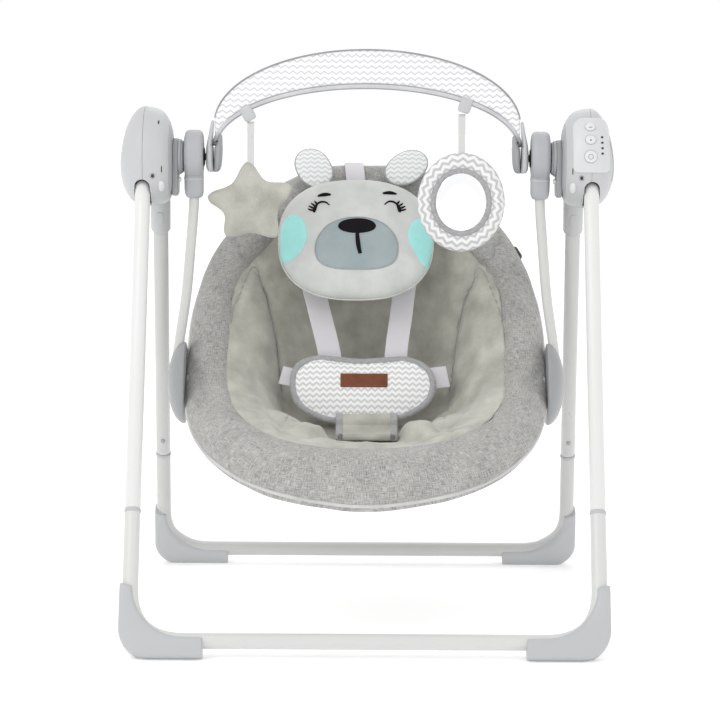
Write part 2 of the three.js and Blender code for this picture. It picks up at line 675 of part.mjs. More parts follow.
function starToy() {
  const s = new THREE.Shape(Array.from({ length: 10 }, (_, i) => {
    const r = (i % 2 ? 0.62 : 1) * (STAR.r - 1);
    const a = Math.PI / 2 + (i * Math.PI) / 5;
    return new THREE.Vector2(r * Math.cos(a), r * Math.sin(a));
  }));
  const g = new THREE.ExtrudeGeometry(s, { depth: 6, bevelSize: 11, bevelThickness: 13, bevelOffset: -10,
    bevelSegments: 3 });
  g.translate(0, 0, -3).rotateX(Math.PI / 2).translate(STAR.x, toyY(STAR.x), STAR.z);
  return solid(g).add(toyStrap(STAR.x, STAR.z + 30));
}

// Profile of [y, radius] points turned about Y and stretched to the mirror's oval.
function mirrorTurned(profile) {
  const g = new THREE.LatheGeometry(profile.map(([y, r]) => new THREE.Vector2(r, y)), 18);
  return g.scale(MIRROR.rx / MIRROR.rz, 1, 1).translate(MIRROR.x, toyY(MIRROR.x), MIRROR.z);
}

function mirrorFrame() {
  const r = MIRROR.rz;
  const ring = mirrorTurned([[-2, 0], [-2, 37], [-7, 38.5], [-8, 42], [-9, 50], [-6, r - 3], [0, r], [6, r - 3],
    [9, 48], [9, 0]]);
  return solid(ring).add(toyStrap(MIRROR.x, MIRROR.z + r - 12));
}

// ---------------------------------------------------------------- assembly

piece('front_lower_tube', lowerTube(-1), WHITE_PAINT);
pair('front_upper_tube', upperTube(-1, LEG_TOP.z + 8), WHITE_PAINT);
pair('front_foot', foot(-1), FOOT_PLASTIC);
piece('rear_lower_tube', lowerTube(1), SHADED_PAINT);
pair('rear_upper_tube', upperTube(1, 556).subtract(solid(snapPin(3.4, 4, 12))), SHADED_PAINT);
pair('rear_foot', foot(1), FOOT_PLASTIC);
pair('snap_button', snapPin(3, 6.5, TUBE_R + 1.6), STEEL);

const outerShell = housing.subtract(cavity).intersect(outerSide).subtract(legSweep());
const inner = innerShell();
const dcHole = along(DC_INLET.x, 0, DC_INLET.z, Y_DIR, DC_INLET.from - 2, 80, DC_INLET.r + GAP);
piece('housing_inner_left', mirrored(inner), LIGHT_PLASTIC);
piece('housing_inner_right', inner.subtract(buttonHoles()).subtract(dcHole), LIGHT_PLASTIC);
piece('housing_outer_left', mirrored(outerShell), LIGHT_PLASTIC);
piece('housing_outer_right', outerShell.subtract(buttonHoles()).subtract(batteryWindow(GAP)), LIGHT_PLASTIC);
piece('battery_door', housing.subtract(cavity).intersect(batteryWindow(0)), LIGHT_PLASTIC);
piece('control_panel', controlPanel(), LIGHT_PLASTIC);
for (const b of BUTTONS) piece(b.name, buttonPin(b, PANEL_R - 4.5, PANEL_R + 3.8), BUTTON_PLASTIC);
pair('fold_button', along(FOLD_BUTTON.x, 0, FOLD_BUTTON.z, Y_DIR, -53, -40, FOLD_BUTTON.r, 14), MID_PLASTIC);
pair('axle_cover', axleCover(), MID_PLASTIC);
pair('bearing', turnedX([[BEARING.from, SHAFT_R + GAP], [BEARING.from, BEARING.outer], [BEARING.to, BEARING.outer],
  [BEARING.to, SHAFT_R + GAP], [BEARING.from, SHAFT_R + GAP]], 18), STEEL);

piece('circuit_board', box(V(262, -46, 560), V(288, -44.4, 592)), BOARD);
piece('speaker', along(0, 0, 608, X_DIR, 250, 258, 12, 18), MAGNET);
piece('drive_coil', along(0, 0, 557, X_DIR, 270.5, 280, 8), COPPER);
piece('battery_pack', batteryPack(), CELL);
piece('dc_inlet', along(DC_INLET.x, 0, DC_INLET.z, Y_DIR, DC_INLET.from, DC_INLET.to, DC_INLET.r)
  .subtract(along(DC_INLET.x, 0, DC_INLET.z, Y_DIR, DC_INLET.from + 4, DC_INLET.to + 4, DC_INLET.hole)), MAGNET);

pair('swing_shaft', along(0, 0, AXIS_Z, X_DIR, 219.5, 268, SHAFT_R), STEEL);
piece('magnet_lever', magnetLever(), MAGNET);
pair('swing_hub', swingHub(), MID_PLASTIC);
pair('swing_arm', tube(armPath(), ARM_R, ARM_STEPS, 8), WHITE_PAINT);
pair('hinge_cover', hingeCover(), MID_PLASTIC);

pair('seat_hub', seatHub(), MID_PLASTIC);
piece('back_hoop', backHoop(HOOP_R), STEEL);
piece('front_hoop', frontHoop(HOOP_R), STEEL);
piece('seat_bolster', bolster(), HEATHER);
piece('seat_liner', liner(), VELVET);
piece('head_pillow', pillow(), PLUSH);
piece('belly_pad', bellyPad(), CHEVRON);
piece('harness_webbing', harness(), WEBBING);
piece('crotch_strap', crotchStrap(), VELVET);

pair('toy_bar_clip', toyBarClip(), MID_PLASTIC);
piece('toy_bar_rod', lowerRod(TOY_BAR.rodR), MID_PLASTIC);
piece('arch_fabric', archFabric(), CHEVRON);
piece('star_clip', toyClip(STAR.x), BUTTON_PLASTIC);
piece('mirror_clip', toyClip(MIRROR.x), BUTTON_PLASTIC);
piece('star_toy', starToy(), VELVET);
piece('mirror_frame', mirrorFrame(), CHEVRON);
piece('mirror_glass', mirrorTurned([[-4.2, 0], [-4.2, 35.6], [-2 - GAP, 36], [-2 - GAP, 0]]), GLASS);

export default group;
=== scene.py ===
import math

import bpy
import numpy as np
from mathutils import Matrix, Vector
from mathutils.bvhtree import BVHTree


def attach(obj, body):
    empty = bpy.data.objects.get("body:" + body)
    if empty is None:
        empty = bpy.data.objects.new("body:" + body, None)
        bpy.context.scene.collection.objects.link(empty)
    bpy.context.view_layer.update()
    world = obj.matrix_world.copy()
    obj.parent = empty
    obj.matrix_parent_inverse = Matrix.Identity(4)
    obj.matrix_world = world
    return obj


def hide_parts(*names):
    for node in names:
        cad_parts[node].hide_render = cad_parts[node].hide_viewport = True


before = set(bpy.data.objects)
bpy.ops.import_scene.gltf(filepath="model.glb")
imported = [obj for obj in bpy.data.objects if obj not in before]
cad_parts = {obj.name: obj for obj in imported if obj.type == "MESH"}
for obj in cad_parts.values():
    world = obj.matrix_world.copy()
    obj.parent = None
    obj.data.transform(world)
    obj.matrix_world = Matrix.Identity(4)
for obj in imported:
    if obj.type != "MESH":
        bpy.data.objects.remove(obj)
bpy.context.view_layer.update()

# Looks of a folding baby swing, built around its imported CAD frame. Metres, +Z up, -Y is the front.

TAU = 2 * math.pi
SIDES = {"left": -1, "right": 1}

# ---------------------------------------------------------------- dimensions shared with the CAD model

TUBE_R = 0.0095
BAR_Z = 0.02
BASE_Y = 0.287
BEND_R = 0.065
JOINT_Z = 0.165
LEG_TOP_Y = 0.032
LEG_TOP_Z = 0.54
FRONT_X = 0.279
REAR_X_BASE = 0.276
REAR_X_TOP = 0.262
SNAP_Z = 0.187
LEAN = math.atan((BASE_Y - LEG_TOP_Y) / (LEG_TOP_Z - BAR_Z))
FOLD_ANGLE = math.radians(40)

AXIS_Z = 0.575
HOUSING_SEAM = 0.278
HOUSING_OUTER = 0.3095
HOUSING_Z = 0.5755
HOUSING_RY = 0.06
HOUSING_RZ = 0.0625
HINGE_Z = 0.289

SPAN = 0.191
ROD_Z = 0.588
ROD_RISE = 0.077
EDGE_Z = 0.617
EDGE_RISE = 0.092

# ---------------------------------------------------------------- node materials


class Look:
    """A material's node graph, started from its shader."""

    def __init__(self, name, roughness, **sockets):
        self.material = bpy.data.materials.new(name)
        self.material.use_nodes = True
        self.tree = self.material.node_tree
        self.shader = self.tree.nodes["Principled BSDF"]
        self.shader.inputs["Roughness"].default_value = roughness
        for socket, value in sockets.items():
            self.shader.inputs[socket.replace("_", " ")].default_value = value

    def add(self, kind, inputs=(), **settings):
        node = self.tree.nodes.new("ShaderNode" + kind)
        for key, value in settings.items():
            setattr(node, key, value)
        for key, value in dict(inputs).items():
            if isinstance(value, bpy.types.NodeSocket):
                self.tree.links.new(value, node.inputs[key])
            else:
                node.inputs[key].default_value = value
        return node

    def math(self, operation, a, b=0.0, c=0.0):
        return self.add("Math", {0: a, 1: b, 2: c}, operation=operation).outputs[0]

    def where(self, uv=False):
        """Position in metres: on the unrolled cloth for uv, else in the object's own space."""
        return self.add("TexCoord").outputs["UV" if uv else "Object"]

    def scaled(self, vector, scale):
        return self.add("Mapping", {"Vector": vector, "Scale": scale}).outputs[0]

    def noise(self, vector, scale, detail=2.0):
        return self.add("TexNoise", {"Vector": vector, "Scale": scale, "Detail": detail}).outputs["Fac"]

    def mix(self, factor, a, b):
        return self.add("Mix", {0: factor, 6: a, 7: b}, data_type="RGBA").outputs[2]

    def band(self, value, low, high):
        """0 below low, 1 above high."""
        node = self.add("MapRange", {"Value": value, "From Min": low, "From Max": high})
        return node.outputs[0]

    def colour(self, value):
        self.tree.links.new(value, self.shader.inputs["Base Color"])

    def roughness(self, value):
        self.tree.links.new(value, self.shader.inputs["Roughness"])

    def bump(self, height, distance, strength=1.0):
        node = self.add("Bump", {"Height": height, "Distance": distance, "Strength": strength})
        self.tree.links.new(node.outputs[0], self.shader.inputs["Normal"])


def rgb(red, green, blue):
    """An 8-bit display colour as linear RGBA."""
    linear = [((c / 255 + 0.055) / 1.055) ** 2.4 for c in (red, green, blue)]
    return (*linear, 1.0)


def shade(colour, factor):
    return (*(min(1.0, c * factor) for c in colour[:3]), 1.0)


def paint(name, colour):
    """Powder-coated steel: glossy, with a faint orange peel."""
    look = Look(name, 0.32, Coat_Weight=0.35, Coat_Roughness=0.18)
    at = look.where()
    look.colour(look.mix(look.noise(at, 18, 3), shade(colour, 0.985), shade(colour, 1.01)))
    look.roughness(look.band(look.noise(at, 60), -0.9, 3.2))
    look.bump(look.noise(at, 900), 0.00012, 0.35)
    return look.material


def plastic(name, colour, roughness, grain=0.00016):
    """Moulded plastic with a fine spark-eroded grain and slightly uneven gloss."""
    look = Look(name, roughness, Specular_IOR_Level=0.45)
    at = look.where()
    look.colour(look.mix(look.noise(at, 25, 3), shade(colour, 0.975), shade(colour, 1.02)))
    look.roughness(look.band(look.noise(at, 45), -roughness * 3, 4.5 - roughness * 3))
    look.bump(look.noise(at, 1500, 1), grain, 0.4)
    return look.material


def metal(name, colour, roughness):
    look = Look(name, roughness, Metallic=1.0)
    at = look.where()
    look.colour(look.mix(look.noise(at, 90, 4), shade(colour, 0.9), colour))
    look.bump(look.noise(look.scaled(at, (60, 900, 900)), 1.0), 0.0001, 0.4)
    return look.material


def linen(name, dark, light):
    """Heather cloth: slubby light and dark threads crossing at right angles."""
    look = Look(name, 0.92, Sheen_Weight=0.15, Sheen_Roughness=0.6)
    at = look.where(uv=True)
    warp = look.noise(look.scaled(at, (1400, 110, 1)), 1.0, 3)
    weft = look.noise(look.scaled(at, (110, 1400, 1)), 1.0, 3)
    cloud = look.noise(look.scaled(at, (30, 30, 1)), 1.0)
    threads = look.math("ADD", look.math("MULTIPLY", warp, 0.5), look.math("MULTIPLY", weft, 0.5))
    threads = look.math("ADD", threads, look.math("MULTIPLY", cloud, 0.12))
    look.colour(look.mix(look.band(threads, 0.44, 0.68), dark, light))
    weave = look.math("MULTIPLY", warp, weft)
    look.bump(weave, 0.0009, 0.7)
    return look.material


def velvet(name, dark, light, sheen=0.5, pile=0.0005):
    """Short pile whose colour is painted lighter and darker in soft blotches, lighter where the pile stands
    higher: a painted sheen.
    """
    look = Look(name, 0.88, Sheen_Weight=sheen, Sheen_Roughness=0.45)
    at = look.where()
    blotch = look.noise(at, 32, 4)
    fibre = look.noise(at, 900, 2)
    tone = look.math("ADD", look.math("MULTIPLY", blotch, 0.75), look.math("MULTIPLY", fibre, 0.25))
    # Painted sheen: lighter where the pile stands higher.
    look.colour(look.mix(look.band(tone, 0.32, 0.68), dark, light))
    look.bump(look.math("ADD", fibre, look.math("MULTIPLY", blotch, 1.6)), pile, 0.6)
    return look.material


def chevron(name, ground, line, wavelength=0.0087, pitch=0.0075, width=0.34):
    """White cotton printed with rows of thin zigzags, laid out on the unrolled cloth."""
    look = Look(name, 0.9, Sheen_Weight=0.15)
    at = look.where(uv=True)
    split = look.add("SeparateXYZ", {0: at})
    phase = look.math("FRACT", look.math("DIVIDE", split.outputs[0], wavelength))
    zigzag = look.math("ABSOLUTE", look.math("SUBTRACT", phase, 0.5))
    row = look.math("FRACT", look.math("ADD", look.math("DIVIDE", split.outputs[1], pitch), zigzag))
    away = look.math("ABSOLUTE", look.math("SUBTRACT", row, 0.5))
    mask = look.band(away, width / 2, width / 2 + 0.1)
    look.colour(look.mix(mask, line, ground))
    cloth = look.noise(look.scaled(at, (1500, 1500, 1)), 1.0, 2)
    look.bump(cloth, 0.0003, 0.5)
    return look.material


def woven_tape(name, colour, rib=0.0013):
    """Narrow webbing with ribs across its length."""
    look = Look(name, 0.78, Sheen_Weight=0.2)
    split = look.add("SeparateXYZ", {0: look.where(uv=True)})
    ribs = look.math("SINE", look.math("MULTIPLY", split.outputs[0], TAU / rib))
    cords = look.math("SINE", look.math("MULTIPLY", split.outputs[1], TAU / (rib * 1.6)))
    relief = look.math("MULTIPLY", ribs, cords)
    # Colour follows the rib relief: painted shade in the valleys, painted highlight on the ribs.
    look.colour(look.mix(look.band(relief, -1, 1), shade(colour, 0.9), shade(colour, 1.03)))
    look.bump(relief, 0.0003, 0.7)
    return look.material


def leather(name, colour):
    look = Look(name, 0.55, Specular_IOR_Level=0.4)
    at = look.where()
    grain = look.add("TexVoronoi", {"Vector": at, "Scale": 900.0}).outputs["Distance"]
    tone = look.noise(at, 120, 4)
    look.colour(look.mix(look.band(tone, 0.3, 0.7), shade(colour, 0.78), shade(colour, 1.15)))
    look.bump(grain, 0.0003, 0.6)
    return look.material


def thread(name, colour):
    """Satin-stitched embroidery."""
    look = Look(name, 0.8, Specular_IOR_Level=0.12)
    at = look.where()
    strands = look.noise(look.scaled(at, (250, 250, 2600)), 1.0, 1)
    # Colour follows the strand relief: painted highlight on the strands, painted shade between them.
    look.colour(look.mix(strands, shade(colour, 0.75), shade(colour, 1.3)))
    look.bump(strands, 0.0003, 0.7)
    return look.material


def silvered(name):
    look = Look(name, 0.06, Metallic=1.0)
    at = look.where()
    look.colour(look.mix(look.noise(at, 20), rgb(248, 250, 251), rgb(254, 254, 254)))
    look.bump(look.noise(at, 30, 1), 0.0002, 0.08)
    return look.material


WHITE_PAINT = paint("white_paint", rgb(222, 222, 221))
SHADED_PAINT = paint("shaded_paint", rgb(196, 197, 195))
# Darker copy of the white paint for the front U tube: painted shade on the lower bar.
BASE_SHADE_PAINT = paint("base_painted_shade", rgb(209, 209, 207))
# Darker copy of the white paint for the swing arms: painted shade.
ARM_SHADE_PAINT = paint("arm_painted_shade", rgb(204, 205, 202))
LIGHT_PLASTIC = plastic("light_plastic", rgb(190, 191, 192), 0.42)
PANEL_PLASTIC = plastic("panel_plastic", rgb(209, 210, 211), 0.36)
INNER_PLASTIC = plastic("inner_plastic", rgb(153, 155, 156), 0.46)
MID_PLASTIC = plastic("mid_plastic", rgb(172, 174, 177), 0.46)
FOOT_PLASTIC = plastic("foot_plastic", rgb(184, 186, 188), 0.4)
BUTTON_PLASTIC = plastic("button_plastic", rgb(218, 219, 220), 0.3)
DARK_PLASTIC = plastic("dark_plastic", rgb(58, 60, 63), 0.35)
BLACK_PLASTIC = plastic("black_plastic", rgb(30, 31, 33), 0.45)
MARK_PAINT = plastic("mark_paint", rgb(120, 123, 127), 0.5)
STEEL = metal("steel", rgb(170, 172, 175), 0.3)
COPPER = metal("copper", rgb(190, 115, 70), 0.35)
GRAPHITE = metal("graphite", rgb(90, 93, 97), 0.45)
BOARD_GREEN = plastic("board_green", rgb(45, 120, 70), 0.45)
CELL_SLEEVE = plastic("cell_sleeve", rgb(70, 74, 80), 0.3)
HEATHER = linen("heather_linen", rgb(126, 125, 123), rgb(196, 195, 192))
LINER_VELVET = velvet("liner_velvet", rgb(160, 159, 149), rgb(200, 199, 189))
STAR_VELVET = velvet("star_velvet", rgb(155, 154, 144), rgb(196, 195, 186))
FACE_PLUSH = velvet("face_plush", rgb(190, 192, 189), rgb(209, 211, 208), 0.25, 0.0003)
SNOUT_PLUSH = velvet("snout_plush", rgb(145, 158, 161), rgb(160, 171, 173), 0.2, 0.0003)
CHEEK_PLUSH = velvet("cheek_plush", rgb(154, 220, 215), rgb(173, 232, 229), 0.2, 0.0003)
CHEVRON = chevron("chevron_cotton", rgb(244, 244, 243), rgb(206, 207, 208))
FINE_CHEVRON = chevron("fine_chevron_cotton", rgb(241, 241, 241), rgb(205, 206, 208), 0.0098, 0.007, 0.22)
# The mirror ring's chevron, printed darker: painted shade over the ring.
RING_CHEVRON_SHADED = chevron("ring_chevron_painted_shade", rgb(232, 232, 231), rgb(190, 191, 192), 0.0125, 0.0085, 0.36)
EAR_CHEVRON = chevron("ear_chevron_cotton", rgb(236, 237, 237), rgb(206, 208, 209), 0.0095, 0.0072, 0.3)
BINDING = linen("grey_binding", rgb(140, 141, 143), rgb(182, 182, 183))
PIPING = velvet("light_piping", rgb(188, 188, 187), rgb(212, 212, 211), 0.2, 0.0002)
ARCH_PIPING = velvet("arch_piping", rgb(186, 187, 190), rgb(206, 207, 209), 0.2, 0.0002)
ARCH_EDGE = velvet("arch_edge", rgb(138, 139, 142), rgb(160, 161, 164), 0.2, 0.0002)
WEBBING = woven_tape("white_webbing", rgb(229, 227, 232))
TOY_TAPE = woven_tape("toy_tape", rgb(219, 219, 218))
LEATHER = leather("brown_leather", rgb(117, 61, 34))
STITCH = thread("tan_stitch", rgb(168, 112, 76))
INK = thread("dark_embroidery", rgb(20, 18, 21))
MIRROR = silvered("acrylic_mirror")

# ---------------------------------------------------------------- mesh helpers


def coords(obj):
    flat = np.zeros(len(obj.data.vertices) * 3)
    obj.data.vertices.foreach_get("co", flat)
    return flat.reshape(-1, 3)


def set_coords(obj, points):
    obj.data.vertices.foreach_set("co", np.asarray(points, float).ravel())
    obj.data.update()


def vec(*xyz):
    return np.array(xyz, float)


def unit(v):
    v = np.asarray(v, float)
    return v / np.maximum(np.linalg.norm(v, axis=-1, keepdims=True), 1e-12)


def add_mesh(name, points, faces, material, uvs=None, sharp=None):
    mesh = bpy.data.meshes.new(name)
    mesh.from_pydata(np.asarray(points, float), [], faces)
    layer = mesh.uv_layers.new(name="UVMap")
    if uvs is not None:
        layer.data.foreach_set("uv", np.asarray(uvs, float).ravel())
    mesh.materials.append(material)
    mesh.shade_smooth()
    if sharp is not None:
        mesh.set_sharp_from_angle(angle=math.radians(sharp))
    obj = bpy.data.objects.new(name, mesh)
    bpy.context.scene.collection.objects.link(obj)
    return obj


def skin(rings, closed=False, ring_closed=True, caps=(0, 1)):
    """Points, faces and face-corner UVs (metres) of a skin over rings of equal length, facing out."""
    rings = np.asarray(rings, float)
    n, m = rings.shape[:2]
    spans, sides = (n if closed else n - 1), (m if ring_closed else m - 1)
    loop = np.concatenate([rings, rings[:1]]) if closed else rings
    u = np.concatenate([[0], np.cumsum(np.linalg.norm(np.diff(loop.mean(axis=1), axis=0), axis=1))])
    around = np.concatenate([rings, rings[:, :1]], axis=1) if ring_closed else rings
    steps = np.linalg.norm(np.diff(around, axis=1), axis=2)
    v = np.concatenate([np.zeros((n, 1)), np.cumsum(steps, axis=1)], axis=1)
    v = v - v[:, -1:] / 2
    faces, uvs = [], []
    for i in range(spans):
        k = (i + 1) % n
        for j in range(sides):
            h = (j + 1) % m
            faces.append((i * m + j, k * m + j, k * m + h, i * m + h))
            uvs += [(u[i], v[i, j]), (u[i + 1], v[k, j]), (u[i + 1], v[k, j + 1]), (u[i], v[i, j + 1])]
    points = list(rings.reshape(-1, 3))
    if not closed and ring_closed:
        for row, flip in [((0, 1), (n - 1, -1))[cap] for cap in caps]:
            points.append(rings[row].mean(axis=0))
            for j in range(m):
                corner = [len(points) - 1, row * m + j, row * m + (j + 1) % m][::flip]
                faces.append(corner)
                uvs += [(u[row], 0.001 * (c % 7)) for c in corner]
    points = np.array(points)
    if ring_closed and volume(points, faces) < 0:
        flipped = []
        start = 0
        for face in faces:
            flipped += uvs[start:start + len(face)][::-1]
            start += len(face)
        faces, uvs = [f[::-1] for f in faces], flipped
    return points, faces, uvs


def volume(points, faces):
    points = points - points.mean(axis=0)
    fans = np.array([(f[0], f[i], f[i + 1]) for f in faces for i in range(1, len(f) - 1)])
    a, b, c = points[fans[:, 0]], points[fans[:, 1]], points[fans[:, 2]]
    return np.sum(a * np.cross(b, c))


def spline(points, count, closed=False):
    """Centripetal Catmull-Rom curve, sampled evenly between its points."""
    p = np.asarray(points, float)
    n = len(p)
    if closed:
        where = np.arange(count) * n / count
        i = np.floor(where).astype(int)
        q = [p[(i + k) % n] for k in (-1, 0, 1, 2)]
    else:
        where = np.linspace(0, n - 1, count)
        i = np.minimum(np.floor(where).astype(int), n - 2)
        ends = np.concatenate([[2 * p[0] - p[1]], p, [2 * p[-1] - p[-2]]])
        q = [ends[i + k] for k in (0, 1, 2, 3)]
    t = (where - i)[:, None]
    d = [np.maximum(np.linalg.norm(b - a, axis=1, keepdims=True) ** 0.5, 1e-9) for a, b in zip(q, q[1:])]
    m1 = ((q[1] - q[0]) / d[0] - (q[2] - q[0]) / (d[0] + d[1]) + (q[2] - q[1]) / d[1]) * d[1]
    m2 = ((q[2] - q[1]) / d[1] - (q[3] - q[1]) / (d[1] + d[2]) + (q[3] - q[2]) / d[2]) * d[1]
    return ((2 * t**3 - 3 * t**2 + 1) * q[1] + (t**3 - 2 * t**2 + t) * m1
            + (3 * t**2 - 2 * t**3) * q[2] + (t**3 - t**2) * m2)


def tangents(path, closed=False):
    if closed:
        return unit(np.roll(path, -1, axis=0) - np.roll(path, 1, axis=0))
    return unit(np.gradient(path, axis=0))


def carried_normals(path, closed=False):
    """A normal carried along the path without twisting; a closed path's twist is spread evenly."""
    along = tangents(path, closed)
    first = np.cross(along[0], (0, 0, 1) if abs(along[0][2]) < 0.9 else (1, 0, 0))
    normals = [unit(first)]
    for t in along[1:]:
        n = normals[-1] - t * np.dot(normals[-1], t)
        normals.append(unit(n))
    normals = np.array(normals)
    if closed:
        last = unit(normals[-1] - along[0] * np.dot(normals[-1], along[0]))
        twist = math.atan2(np.dot(np.cross(last, normals[0]), along[0]), np.dot(last, normals[0]))
        turn = np.linspace(0, twist, len(path), endpoint=False)[:, None]
        normals = normals * np.cos(turn) + np.cross(along, normals) * np.sin(turn)
    return along, normals


def tube_rings(path, radius, sides=20, closed=False):
    path = np.asarray(path, float)
    along, normal = carried_normals(path, closed)
    other = np.cross(along, normal)
    angle = np.arange(sides) * TAU / sides
    radius = np.broadcast_to(radius, (len(path),))[:, None, None]
    spokes = normal[:, None] * np.cos(angle)[None, :, None] + other[:, None] * np.sin(angle)[None, :, None]
    return path[:, None] + radius * spokes


def tube(name, path, radius, material, sides=20, closed=False, sharp=None):
    return add_mesh(name, *skin_args(tube_rings(path, radius, sides, closed), closed, material), sharp=sharp)


def skin_args(rings, closed, material):
    points, faces, uvs = skin(rings, closed)
    return points, faces, material, uvs


def band_rings(path, across, width, thickness, edge=5):
    """Rounded rectangular section along a path; width lies along `across` as far as the path lets it."""
    path = np.asarray(path, float)
    along = tangents(path)
    across = np.broadcast_to(np.asarray(across, float), path.shape)
    side = unit(across - along * np.sum(across * along, axis=1, keepdims=True))
    up = np.cross(along, side)
    width = np.broadcast_to(width, (len(path),))[:, None]
    a = np.arange(8 * edge) * TAU / (8 * edge)
    flat = squared(np.cos(a), 0.25)
    tall = squared(np.sin(a), 0.5)
    return (path[:, None] + side[:, None] * (width * flat[None] / 2)[..., None]
            + up[:, None] * (thickness * tall[None] / 2)[..., None])


def band(name, path, across, width, thickness, material):
    return add_mesh(name, *skin_args(band_rings(path, across, width, thickness), False, material))


def rounded(profile, radius, steps=5):
    """A polyline with its inner corners rounded off."""
    p = np.asarray(profile, float)
    out = [p[0]]
    for before, corner, after in zip(p, p[1:], p[2:]):
        reach = min(radius, 0.45 * np.linalg.norm(before - corner), 0.45 * np.linalg.norm(after - corner))
        a, b = corner + unit(before - corner) * reach, corner + unit(after - corner) * reach
        for t in np.linspace(0, 1, steps):
            out.append((1 - t) ** 2 * a + 2 * t * (1 - t) * corner + t**2 * b)
    out.append(p[-1])
    return np.array(out)


def turned(name, profile, material, side, axis_z=AXIS_Z, segments=56, radius=0.0015):
    """Solid turned about a line along X from [x, radius] points; side -1 mirrors it."""
    profile = rounded(profile, radius)
    angle = np.arange(segments) * TAU / segments
    rings = [[(side * x, r * math.cos(a), axis_z + r * math.sin(a)) for a in angle]
             for x, r in profile]
    return add_mesh(name, *skin_args(rings, False, material), sharp=40)


def peg(name, start, end, radius, material, sides=24, bevel=0.0006):
    """Round pin with softened ends."""
    start, end = np.asarray(start, float), np.asarray(end, float)
    step = unit(end - start) * bevel
    path = [start, start + step, end - step, end]
    return tube(name, path, [radius - bevel, radius, radius, radius - bevel], material, sides, sharp=50)


def cut(obj, cutter):
    """Removes the cutter's volume from obj; the cutter goes."""
    modifier = obj.modifiers.new("cut", "BOOLEAN")
    modifier.object = cutter
    modifier.solver = "MANIFOLD"
    bake(obj)
    bpy.data.objects.remove(cutter)
    obj.data.set_sharp_from_angle(angle=math.radians(40))


def bake(obj):
    """Applies the object's modifiers."""
    graph = bpy.context.evaluated_depsgraph_get()
    mesh = bpy.data.meshes.new_from_object(obj.evaluated_get(graph))
    obj.modifiers.clear()
    obj.data = mesh


def place(obj, body, *nodes, slot=None):
    """Rides obj on a body, for CAD nodes that it stands for."""
    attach(obj, body)
    if nodes:
        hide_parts(*nodes)


def nearest_on(obj, spot):
    """Nearest point of an object to a spot, and its normal."""
    _, at, normal, _ = obj.closest_point_on_mesh(Vector(spot))
    return np.array(at), np.array(normal)


def surface(obj):
    """Ray caster on an object: (start, direction) gives the nearest point and its outward normal.
    A ray that misses takes the point nearest to where it is after the distance reach."""
    tree = BVHTree.FromPolygons([v.co for v in obj.data.vertices], [p.vertices for p in obj.data.polygons])

    def cast(start, direction, reach=0.0):
        spot, normal, _, _ = tree.ray_cast(Vector(start), Vector(direction))
        if spot is None:
            spot, normal, _, _ = tree.find_nearest(Vector(start) + Vector(direction) * reach)
        if normal.dot(Vector(direction)) > 0:
            normal = -normal
        return np.array(spot), np.array(normal)

    return cast


def patch(name, outline, onto, levels, material):
    """Skin over an outline laid on a surface: onto(a, b) gives the point and normal, and each level
    is (share of the outline's size, height above the surface), from the rim to the middle."""
    outline = np.asarray(outline, float)
    middle = outline.mean(axis=0)
    m = len(outline)
    points, uvs_at = [], []
    for share, height in levels:
        for a, b in middle + (outline - middle) * share:
            spot, normal = onto(a, b)
            points.append(spot + normal * height)
            uvs_at.append((a, b))
    spot, normal = onto(*middle)
    points.append(spot + normal * levels[-1][1])
    uvs_at.append(tuple(middle))
    faces = []
    for i in range(len(levels) - 1):
        for j in range(m):
            k = (j + 1) % m
            faces.append((i * m + j, i * m + k, (i + 1) * m + k, (i + 1) * m + j))
    last = (len(levels) - 1) * m
    faces += [(last + j, last + (j + 1) % m, len(points) - 1) for j in range(m)]
    return add_mesh(name, points, faces, material, [uvs_at[i] for f in faces for i in f])


DISC_LEVELS = ((1.0, -0.001), (1.0, 0.0), (0.97, 1.0), (0.88, 1.0), (0.78, 1.0), (0.67, 1.0), (0.55, 1.0),
               (0.42, 1.0), (0.28, 1.0), (0.14, 1.0))


def raised(height, sink=0.001):
    return [(share, -sink if h < 0 else h * height) for share, h in DISC_LEVELS]


def squared(wave, power):
    """A sine or cosine bulged towards a square wave by a power below 1."""
    return np.sign(wave) * np.abs(wave) ** power


def oval(cx, cy, rx, ry, count=40, power=2.0, turn=0.0):
    a = np.arange(count) * TAU / count
    x = squared(np.cos(a), 2 / power) * rx
    y = squared(np.sin(a), 2 / power) * ry
    c, s = math.cos(turn), math.sin(turn)
    return np.stack([cx + c * x - s * y, cy + s * x + c * y], axis=1)


# ---------------------------------------------------------------- camera, light and floor

CAMERA = {"y": -3.661, "z": 0.7886, "pitch": 7.31, "roll": 0.316, "lens": 145.75, "shift": -0.0085}


